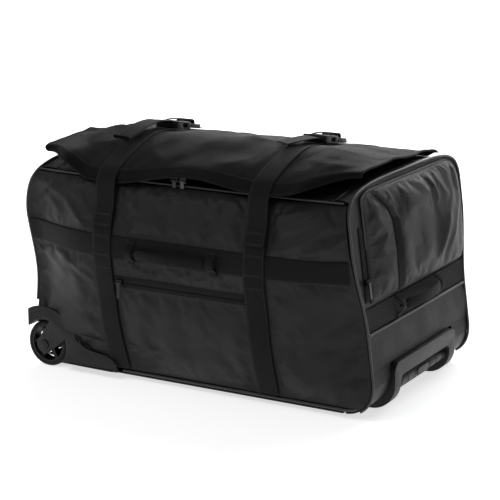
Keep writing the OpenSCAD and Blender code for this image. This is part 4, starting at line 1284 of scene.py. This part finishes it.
def disc_arc(radius, first, last, y, centre, count=40):
    turn = np.radians(np.linspace(first, last, count))
    across = np.full(count, y)
    return np.stack([centre[0] + radius * np.cos(turn), across, centre[2] + radius * np.sin(turn)], 1)


def wheels():
    """Wheel housings with their ribs and lips, tyres with a tread groove, hubs and axles."""
    for sign, name in ((-1, "front"), (1, "back")):
        bevelled("wheel_housing_" + name, 1.4, PLASTIC)
        bevelled("hub_" + name, 0.8, PLASTIC)
        centre = np.array([WHEEL_C[0], 0, WHEEL_C[2]])
        y = sign * (abs(HOUSING_Y) + 0.2)
        ribs = []
        for radius in (WHEEL_R + 8, WHEEL_R + 13, WHEEL_R + 18):
            rib = disc_arc(radius, 97, math.degrees(math.acos(-33 / radius)), y, centre)
            ribs.append(sweep("rib", cord_rings(rib, 1.1, (0, 1, 0), 8), PLASTIC, "bag"))
        lip = np.array([(-262, y, 16.2), (-220, y, 15.6), (-190, y, 15.4), (-166, y, 15.4)])
        ribs.append(sweep("lip", cord_rings(smooth_path(lip, 4), 1.6, (0, 1, 0), 8), PLASTIC, "bag"))
        edge = disc_arc(WHEEL_R + 28.2, 100, 22, y, centre)
        foot = [(-239, y, 66), (-231, y, 54), (-214, y, 47.5), (-190, y, 43.5), (-174, y, 39.5),
                (-163, y, 33), (-158.6, y, 26), (-158.4, y, 19)]
        edge = smooth_path(np.concatenate([edge[::5], foot]), 4)
        ribs.append(sweep("edge", cord_rings(edge, 1.3, (0, 1, 0), 8), PLASTIC, "bag"))
        join("housing_ribs_" + name, ribs)
        wheel_tyre(name)
    bevelled("axle_caps", 0.8, PLASTIC)


TREAD_R = 43.7  # the radius that the tyre's profile is drawn for


def wheel_tyre(name):
    """Tyre with rounded shoulders and a shallow groove round its tread."""
    low, high = mm_box("tyre_" + name)
    half = (high[1] - low[1]) / 2
    profile = [(36.0, -half + 0.6), (37.5, -half), (40.2, -half + 0.3), (42.4, -half + 1.8),
               (43.4, -half + 4),
               (TREAD_R, -3), (43.3, -1.6), (42.8, -0.9), (42.8, 0.9), (43.3, 1.6), (TREAD_R, 3),
               (43.4, half - 4),
               (42.4, half - 1.8), (40.2, half - 0.3), (37.5, half), (36.0, half - 0.6)]
    rings = []
    for t in np.linspace(0, 2 * np.pi, 96, endpoint=False):
        rings.append([(WHEEL_C[0] + (r * WHEEL_R / TREAD_R) * math.cos(t), (low[1] + high[1]) / 2 + y,
                       WHEEL_C[2] + (r * WHEEL_R / TREAD_R) * math.sin(t)) for r, y in profile])
    sweep("tyre_%s_rubber" % name, rings, TYRE, "wheel_" + name, ["tyre_" + name], closed=True)


def handle_parts():
    low, high = mm_box("handle_bezel")
    bevelled("handle_bezel", 2.4, PLASTIC, segments=4,
             corners=[(high[1], high[2], 16), (105, 57.5, 14)])
    bevelled("handle_grip", 1.0, GRIP)
    bevelled("grip_button", 1.0, BUTTON)
    low, high = mm_box("handle_grip")
    centre_x, centre_z, radius = high[0] - 11, (low[2] + high[2]) / 2, 11.1
    rings = []
    for y in (-88.0, -60.0, -32.0, 32.0, 60.0, 88.0):
        path = disc_arc(radius, -80, 80, y, (centre_x, 0, centre_z), 20)
        rings.append(sweep("line", cord_rings(path, 0.45, (0, 1, 0), 6), GRIP, "handle"))
    join("grip_lines", rings)


def render_setup():
    scene = bpy.context.scene
    camera = bpy.data.objects.new("camera", bpy.data.cameras.new("camera"))
    scene.collection.objects.link(camera)
    shift = Vector(MIDDLE * MM)
    camera.location = Vector((1.5009, -2.6617, 0.9649)) + shift
    aim = Vector((-0.0038, -0.0022, 0.2144)) + shift
    camera.rotation_euler = (aim - camera.location).to_track_quat("-Z", "Y").to_euler()
    camera.data.lens, camera.data.sensor_width = FOCAL_MM, SENSOR_MM
    scene.camera = camera
    scene.view_settings.view_transform = "Standard"

    world = bpy.data.worlds.new("studio")
    scene.world = world
    world.use_nodes = True
    nodes, links = world.node_tree.nodes, world.node_tree.links
    backdrop = nodes["Background"]
    backdrop.inputs["Color"].default_value = (1, 1, 1, 1)
    backdrop.inputs["Strength"].default_value = 1.0
    room = nodes.new("ShaderNodeBackground")
    room.inputs["Color"].default_value = (0.97, 0.98, 1, 1)
    room.inputs["Strength"].default_value = 0.22
    path = nodes.new("ShaderNodeLightPath")
    mix = nodes.new("ShaderNodeMixShader")
    links.new(path.outputs["Is Camera Ray"], mix.inputs[0])
    links.new(room.outputs[0], mix.inputs[1])
    links.new(backdrop.outputs[0], mix.inputs[2])
    links.new(mix.outputs[0], nodes["World Output"].inputs["Surface"])

    def area(name, at, target, size, power):
        light = bpy.data.lights.new(name, "AREA")
        light.shape = "RECTANGLE"
        light.size, light.size_y = size
        light.energy = power
        lamp = bpy.data.objects.new(name, light)
        scene.collection.objects.link(lamp)
        lamp.location = at
        lamp.rotation_euler = (Vector(target) - Vector(at)).to_track_quat("-Z", "Y").to_euler()

    area("right_high", (2.4, -0.35, 1.6), (0.3, 0, 0.25), (0.9, 1.2), 2.5)
    area("low_rear", (-0.5, 3.4, 1.5), (0, 0, 0.4), (3.4, 0.8), 62)
    area("front_high", (-1.0, -2.4, 2.6), (0, -0.2, 0.3), (1.2, 0.8), 24)
    area("left_graze", (-2.2, -1.0, 1.9), (0, -0.2, 0.3), (0.5, 0.5), 6)
    sun = bpy.data.lights.new("sky_soft", "SUN")
    sun.energy, sun.angle = 1.2, math.radians(60)
    lamp = bpy.data.objects.new("sky_soft", sun)
    scene.collection.objects.link(lamp)
    lamp.rotation_euler = (Vector((0, 0, 0)) - Vector((-0.05, 1.4, 1))).to_track_quat("-Z", "Y").to_euler()

    bpy.ops.mesh.primitive_plane_add(size=60)
    floor = bpy.context.object
    floor.name = "floor"
    g = Graph("floor_paint", (0.92, 0.92, 0.92), 0.8, Specular_IOR_Level=0.1, Emission_Strength=0.64,
              Emission_Color=(1, 1, 1, 1))
    g.vary_color(g.noise(g.place(), 2, 2), 0.99, 1.0)
    floor.data.materials.append(g.material)


render_setup()
side_cloths()
wheel_end_cloth()
handle_end_cloth()
kick_cloth()
end_pocket_cloth()
top_cloth()
bevelled("base_tray", 1.0, PLASTIC)
pipings()
bands()
lower_straps()
storm_flap()
upper_straps()
rear_straps()
buckles()
zips()
grab_handles()
wheels()
handle_parts()

NODE_LOOKS = {
    "coated_cloth": CLOTH, "flap_cloth": FLAP, "webbing": WEB, "piping": PIPING, "zip_tape": ZIP,
    "moulded_plastic": PLASTIC, "buckle_plastic": BUCKLE, "tyre": TYRE, "tube_metal": TUBE,
    "steel": STEEL, "puller_metal": PULL,
}
SLOT_OF = {row["node"]: row["material_slot"] for row in frame["record"]["subparts"]}
for node_name, node_object in frame["nodes"].items():
    node_object.data.materials.clear()
    node_object.data.materials.append(NODE_LOOKS[SLOT_OF[node_name]])
